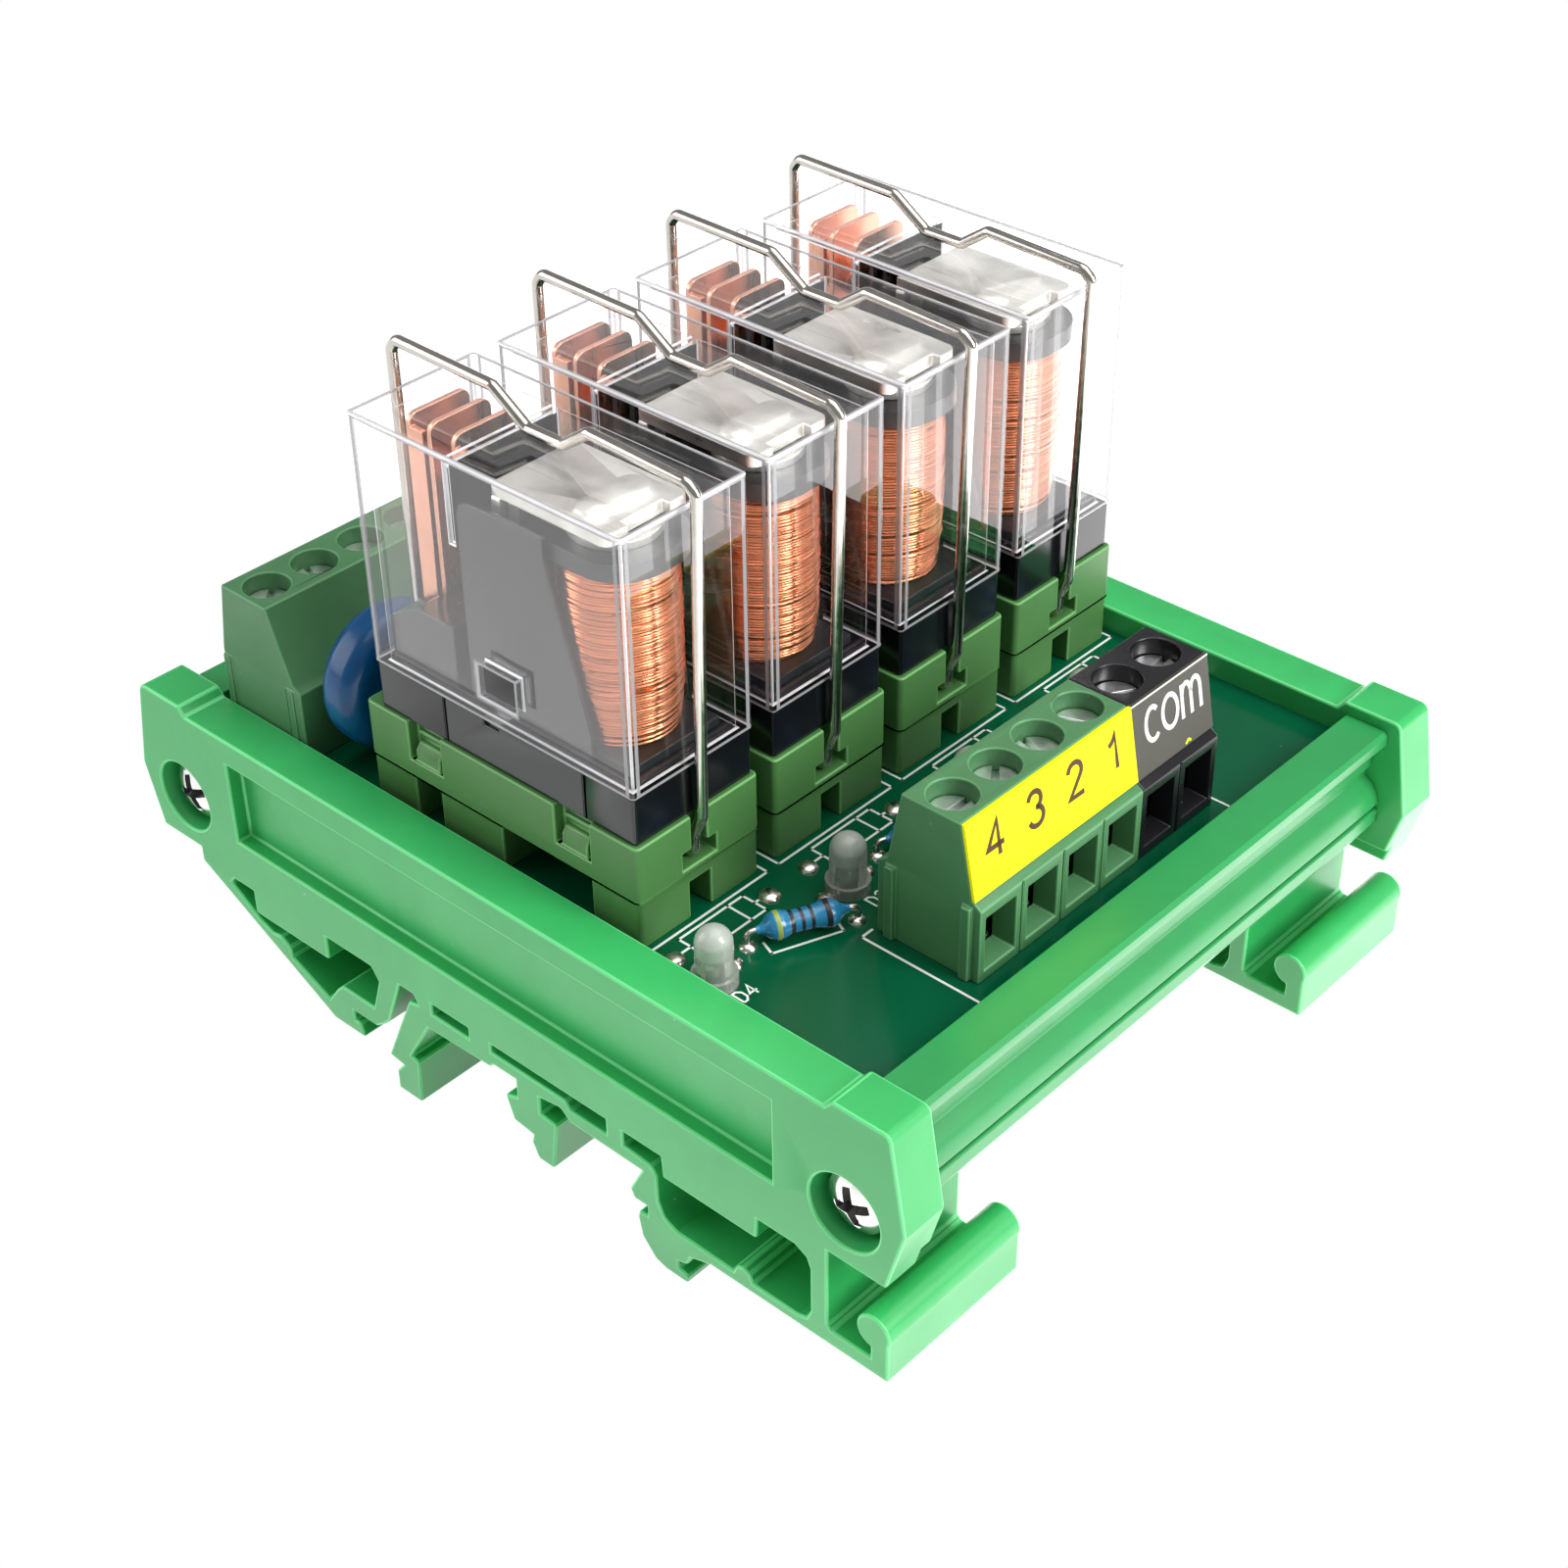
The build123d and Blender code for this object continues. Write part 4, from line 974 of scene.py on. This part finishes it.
class RelayBoardSmallParts(Operator):
    """Finishes the surge discs, the lamps and the resistors"""

    bl_idname = "relay_board.small_parts"
    bl_label = "Discs, lamps and resistors"

    def execute(self, context):
        look = finishes(context)
        for channel in CHANNELS:
            dressed(numbered("varistor", channel), look["disc"], smooth=60.0)
            dressed(numbered("indicator_led", channel), look["lens"], smooth=50.0)
            self.lamp_core(channel, look["lens core"])
            self.lamp_frame(channel, look["plated"])
            self.banded_resistor(channel, look)
        return {"FINISHED"}

    @staticmethod
    def lamp_core(channel, milk):
        """The milky bullet inside the upper half of the lens."""
        low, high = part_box(numbered("indicator_led", channel))
        radius = (high.x - low.x) / 2 * 0.70
        foot = (low.z + high.z) / 2
        wall, corner, steps = 0.25 * MM, 0.2 * MM, 8
        crown = high.z - wall
        outline = [(0.0, foot + wall), (radius * 0.8, foot), (radius, foot + corner)]
        for step in range(steps + 1):
            angle = math.pi / 2 * step / steps
            outline.append((radius * math.cos(angle), crown - radius + radius * math.sin(angle)))
        work = bmesh.new()
        centre = (low + high) / 2
        lathe(work, outline, 32, Matrix.Translation((centre.x, centre.y, 0)))
        keep_piece(numbered("lamp_core", channel), work, milk, MODULE)

    @staticmethod
    def lamp_frame(channel, steel):
        """The two posts inside the lens, one with the cup."""
        lamp = middle(numbered("indicator_led", channel))
        work = bmesh.new()
        thin = 0.2 * MM
        for side, half, top in ((-1, 0.42, 2.6), (1, 0.22, 2.9)):
            low = Vector((lamp.x + (side * 0.62 - half) * MM, lamp.y - thin, BOARD_TOP + thin))
            high = Vector((lamp.x + (side * 0.62 + half) * MM, lamp.y + thin, BOARD_TOP + top * MM))
            block(work, low, high)
        keep_piece(numbered("lamp_frame", channel), work, steel, MODULE)

    def banded_resistor(self, channel, look):
        """The dog bone body with its colour bands, on bent leads."""
        node = numbered("resistor", channel)
        low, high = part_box(node)
        lead, body_radius, ring_gap = 0.3 * MM, 1.2, 0.1
        start = Vector((low.x + lead, high.y - lead, 0))
        end = Vector((high.x - lead, low.y + lead, 0))
        along = (end - start).normalized()
        axis_z = high.z - body_radius * MM
        centre = (start + end) / 2 + Vector((0, 0, axis_z))
        half = 3.15
        bands = [(-2.2, 0.35, 2), (-1.0, 0.36, 1), (-0.2, 0.36, 1), (0.6, 0.36, 1), (1.9, 0.4, 1)]
        taper = [(0.0, 0.75), (0.31, 0.7), (0.36, 0.4), (0.55, 0.05), (0.95, -0.35), (1.14, -0.7)]
        taper += [(body_radius, -1.05), (1.16, -1.4), (1.02, -1.85), (0.94, -2.2)]
        outline = [(radius, -half - past) for radius, past in taper]
        outline += [(radius, half + past) for radius, past in reversed(taper)]
        fine = []
        for (r0, h0), (r1, h1) in zip(outline, outline[1:]):
            steps = max(1, round(abs(h1 - h0) / ring_gap))
            fine += [(r0 + (r1 - r0) * i / steps, h0 + (h1 - h0) * i / steps) for i in range(steps)]
        fine.append(outline[-1])
        work = bmesh.new()
        lathe(work, [(radius * MM, height * MM) for radius, height in fine], 40)
        for face in work.faces:
            height = face.calc_center_median().z / MM
            for place, width, surface in bands:
                if abs(height - place) < width / 2:
                    face.material_index = surface
        turn = along.to_track_quat("Z", "Y").to_matrix().to_4x4()
        bmesh.ops.transform(work, matrix=Matrix.Translation(centre) @ turn, verts=work.verts[:])
        surfaces = (look["resistor body"], look["dark band"], look["gold band"])
        name = numbered("banded_resistor", channel)
        keep_piece(name, work, surfaces, MODULE, (node,), smooth=50.0)
        self.bent_leads(channel, start, end, axis_z, half * MM, look["solder"])

    @staticmethod
    def bent_leads(channel, start, end, level, half, steel):
        """Both leads of a resistor, bent down to their pads."""
        along = (end - start).normalized()
        middle_gap = (end - start).length / 2
        curve = bpy.data.curves.new("lead", "CURVE")
        curve.dimensions = "3D"
        curve.bevel_depth = 0.28 * MM
        curve.bevel_resolution = 3
        bend, in_body, rise, fall = 0.75 * MM, 0.1 * MM, 0.05 * MM, 0.1 * MM
        for foot, way in ((start, -1), (end, 1)):
            inward = -way * along
            route = (
                (middle_gap - half + in_body, level),
                (bend, level + rise),
                (rise, level - fall),
                (0.0, level - bend),
                (0.0, BOARD_TOP),
            )
            points = [foot + inward * back + Vector((0, 0, height)) for back, height in route]
            spline = curve.splines.new("NURBS")
            spline.points.add(len(points) - 1)
            for point, place in zip(spline.points, points):
                point.co = (*place, 1.0)
            spline.order_u = 3
            spline.use_endpoint_u = True
        helper = bpy.data.objects.new("lead", curve)
        work = bmesh.new()
        mesh = bpy.data.meshes.new_from_object(helper)
        work.from_mesh(mesh)
        bmesh.ops.holes_fill(work, edges=[edge for edge in work.edges if edge.is_boundary], sides=0)
        bpy.data.meshes.remove(mesh)
        bpy.data.objects.remove(helper)
        bpy.data.curves.remove(curve)
        keep_piece(numbered("resistor_leads", channel), work, steel, MODULE, smooth=60.0)


class RelayBoardTerminals(Operator):
    """Finishes the terminal rows, their screws and the marker strips"""

    bl_idname = "relay_board.terminals"
    bl_label = "Screw terminals"

    def execute(self, context):
        look = finishes(context)
        terminal = settings_of(context).terminal
        # The second finish goes on the rounded edges as a painted highlight.
        green = (look["terminal"], look["terminal edge highlight"])
        for node, surface, rounding in (
            ("input_terminal_block", green, 0.14),
            ("output_terminal_block", green, 0.14),
            ("common_terminal_block", look["black terminal"], 0.14),
            ("terminal_screws", look["terminal screw"], 0.06),
            ("terminal_clamps", look["clamp"], 0.08),
        ):
            dressed(node, surface, rounding * MM, sharp=40.0)
        dressed("marker_strip_yellow", look["yellow label"], 0.03 * MM)
        dressed("marker_strip_grey", look["grey label"], 0.03 * MM)
        self.print_digits(look["dark ink"], terminal.digit_height)
        self.print_word(look["white ink"], look["yellow label"], terminal.digit_height)
        return {"FINISHED"}

    @staticmethod
    def slanted_face(node):
        """A matrix that lays X along the strip and Y up its slanted face, from the face's middle."""
        low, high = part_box(node)
        thickness = 0.3 * MM
        rise = Vector((0, high.y - thickness - low.y, high.z - low.z))
        up = rise.normalized()
        across = Vector((1, 0, 0))
        out = across.cross(up)
        centre = Vector(((low.x + high.x) / 2, low.y, low.z)) + rise / 2
        turn = Matrix((across, up, out)).transposed().to_4x4()
        return Matrix.Translation(centre) @ turn, high.x - low.x, rise.length

    def print_digits(self, ink, tall):
        face, length, rise = self.slanted_face("marker_strip_yellow")
        work = bmesh.new()
        for digit, middle_x in zip("4321", (3.0, 8.0, 12.9, 18.0)):
            left = middle_x * MM - length / 2 - 0.33 * tall
            spot = face @ Matrix.Translation((left, 0.11 * rise - tall / 2, LABEL_LIFT))
            written(work, digit, tall, 0.45 * MM, spot, stretch=1.1)
        keep_piece("marker_digits", work, ink, MODULE)

    def print_word(self, ink, fleck_ink, digit_height):
        """The word in white with a white line above it, and a fleck of the yellow strip's colour."""
        face, length, rise = self.slanted_face("marker_strip_grey")
        work = bmesh.new()
        tall = digit_height * 1.02
        spot = face @ Matrix.Translation((0.14 * length - length / 2, 0.12 * rise - tall / 2, LABEL_LIFT))
        written(work, "com", tall, 0.41 * MM, spot, stretch=0.84, gap=0.06)
        edge = face @ Matrix.Translation((0, rise / 2 - 0.09 * MM, LABEL_LIFT))
        pen(work, [(-length / 2, 0), (length / 2, 0)], 0.14 * MM, edge, LABEL_INK)
        keep_piece("marker_word", work, ink, MODULE)
        fleck = bmesh.new()
        spot = face @ Matrix.Translation((0.17 * length, 0.24 * MM - rise / 2, LABEL_LIFT))
        pen(fleck, [(-0.4 * MM, 0), (0, 0.25 * MM), (0.3 * MM, 0.05 * MM)], 0.22 * MM, spot, LABEL_INK)
        keep_piece("marker_fleck", fleck, fleck_ink, MODULE)


class RelayBoardStudio(Operator):
    """Sets up the floor, the lights and the camera"""

    bl_idname = "relay_board.studio"
    bl_label = "Studio"

    def execute(self, context):
        studio = settings_of(context).studio
        self.add_floor(studio)
        self.add_sky(context)
        self.add_lights(studio)
        self.add_camera(context, studio)
        scene = context.scene
        scene.view_settings.view_transform = "Standard"
        scene.cycles.max_bounces = 28
        scene.cycles.transmission_bounces = 28
        scene.cycles.transparent_max_bounces = 32
        scene.cycles.glossy_bounces = 8
        scene.cycles.diffuse_bounces = 4
        return {"FINISHED"}

    @staticmethod
    def add_floor(studio):
        """A pale table: clean white in the picture and through clear plastic, and brighter in reflections."""
        table_half, table_turn, far_share = 3.0, 0.1, 0.40
        work = bmesh.new()
        bmesh.ops.create_grid(work, x_segments=1, y_segments=1, size=table_half)
        floor = add_object("studio_floor", mesh_of("studio_floor", work))
        material = bpy.data.materials.new("pale floor")
        material.use_nodes = True
        tree = material.node_tree
        tree.nodes.clear()
        path = put(tree, "ShaderNodeLightPath")
        position = put(tree, "ShaderNodeNewGeometry").outputs["Position"]
        place = put(tree, "ShaderNodeSeparateXYZ", {0: position})
        across = maths(tree, "SUBTRACT", place.outputs["X"], place.outputs["Y"])
        bright = studio.table_glare
        glare = spread(tree, across, far_share * bright, bright, -table_turn, table_turn)
        glossy = path.outputs["Is Glossy Ray"]
        plain = maths(tree, "MAXIMUM", path.outputs["Is Camera Ray"], path.outputs["Is Transmission Ray"])
        strength = maths(tree, "MAXIMUM", maths(tree, "MULTIPLY", glossy, glare), plain)
        seen = put(tree, "ShaderNodeEmission", {"Color": (1, 1, 1, 1), "Strength": strength})
        matt = put(tree, "ShaderNodeBsdfDiffuse", {"Color": (0.86, 0.87, 0.86, 1)})
        share = maths(tree, "MAXIMUM", glossy, plain)
        mixed = put(tree, "ShaderNodeMixShader", {0: share, 1: matt.outputs[0], 2: seen.outputs[0]})
        out = put(tree, "ShaderNodeOutputMaterial")
        tree.links.new(mixed.outputs[0], out.inputs["Surface"])
        floor.data.materials.append(material)

    @staticmethod
    def add_sky(context):
        world = bpy.data.worlds.new("studio_sky")
        context.scene.world = world
        world.use_nodes = True
        tree = world.node_tree
        background = tree.nodes["Background"]
        path = put(tree, "ShaderNodeLightPath")
        plain = maths(tree, "MAXIMUM", path.outputs["Is Camera Ray"], path.outputs["Is Transmission Ray"])
        level = spread(tree, plain, 0.34, 1.0, 0.0, 1.0)
        background.inputs["Color"].default_value = (1, 1, 1, 1)
        tree.links.new(level, background.inputs["Strength"])

    @staticmethod
    def add_lights(studio):
        aim = Vector((0, 0, 0.03))
        for name, place, size, share in (
            ("key_light", (0.115, -0.520, 0.35), (0.24, 0.36), 1.0),
            ("window_light", (-0.28, 0.36, 0.22), (0.30, 0.30), 0.27),
            ("top_light", (0.06, -0.10, 0.60), (0.60, 0.60), 0.70),
        ):
            light = bpy.data.lights.new(name, "AREA")
            light.shape = "RECTANGLE"
            light.size, light.size_y = size
            light.energy = studio.key_power * share
            lamp = add_object(name, light)
            lamp.location = place
            lamp.rotation_euler = (aim - Vector(place)).to_track_quat("-Z", "Y").to_euler()

    @staticmethod
    def add_camera(context, studio):
        """The camera at the photograph's viewing angle."""
        yaw, pitch, roll = 0.8332, -0.6209, -0.0095
        ahead = Vector((math.sin(yaw) * math.cos(pitch), math.cos(yaw) * math.cos(pitch), math.sin(pitch)))
        level = Vector((math.cos(yaw), -math.sin(yaw), 0))
        over = level.cross(ahead)
        right = level * math.cos(roll) + over * math.sin(roll)
        up = -level * math.sin(roll) + over * math.cos(roll)
        lens = bpy.data.cameras.new("camera")
        lens.sensor_width = 36.0
        lens.lens = studio.lens
        lens.shift_x = -0.0092
        lens.shift_y = -0.0124
        lens.clip_start = 0.01
        lens.clip_end = 20.0
        camera = add_object("camera", lens)
        place = Vector((-136.67, -126.47, 154.32)) * MM
        camera.matrix_world = Matrix.Translation(place) @ Matrix((right, up, -ahead)).transposed().to_4x4()
        context.scene.camera = camera


OPERATORS = (
    RelayBoardCarrier,
    RelayBoardCircuit,
    RelayBoardSockets,
    RelayBoardRelays,
    RelayBoardSmallParts,
    RelayBoardTerminals,
    RelayBoardStudio,
)


class RelayBoardPanel(Panel):
    """Lists the steps that finish the module"""

    bl_idname = "VIEW3D_PT_relay_board"
    bl_label = "Relay Board"
    bl_space_type = "VIEW_3D"
    bl_region_type = "UI"
    bl_category = "Relay Board"

    def draw(self, context):
        for step in OPERATORS:
            self.layout.operator(step.bl_idname)


CLASSES = (
    CarrierSettings,
    BoardSettings,
    RelaySettings,
    TerminalSettings,
    StudioSettings,
    RelayBoardSettings,
    *OPERATORS,
    RelayBoardPanel,
)


def register():
    for made in CLASSES:
        bpy.utils.register_class(made)
    bpy.types.Scene.relay_board = PointerProperty(type=RelayBoardSettings)


def unregister():
    del bpy.types.Scene.relay_board
    for made in reversed(CLASSES):
        bpy.utils.unregister_class(made)


def main():
    register()
    bpy.ops.relay_board.carrier()
    bpy.ops.relay_board.circuit()
    bpy.ops.relay_board.sockets()
    bpy.ops.relay_board.relays()
    bpy.ops.relay_board.small_parts()
    bpy.ops.relay_board.terminals()
    bpy.ops.relay_board.studio()


if __name__ == "__main__":
    main()
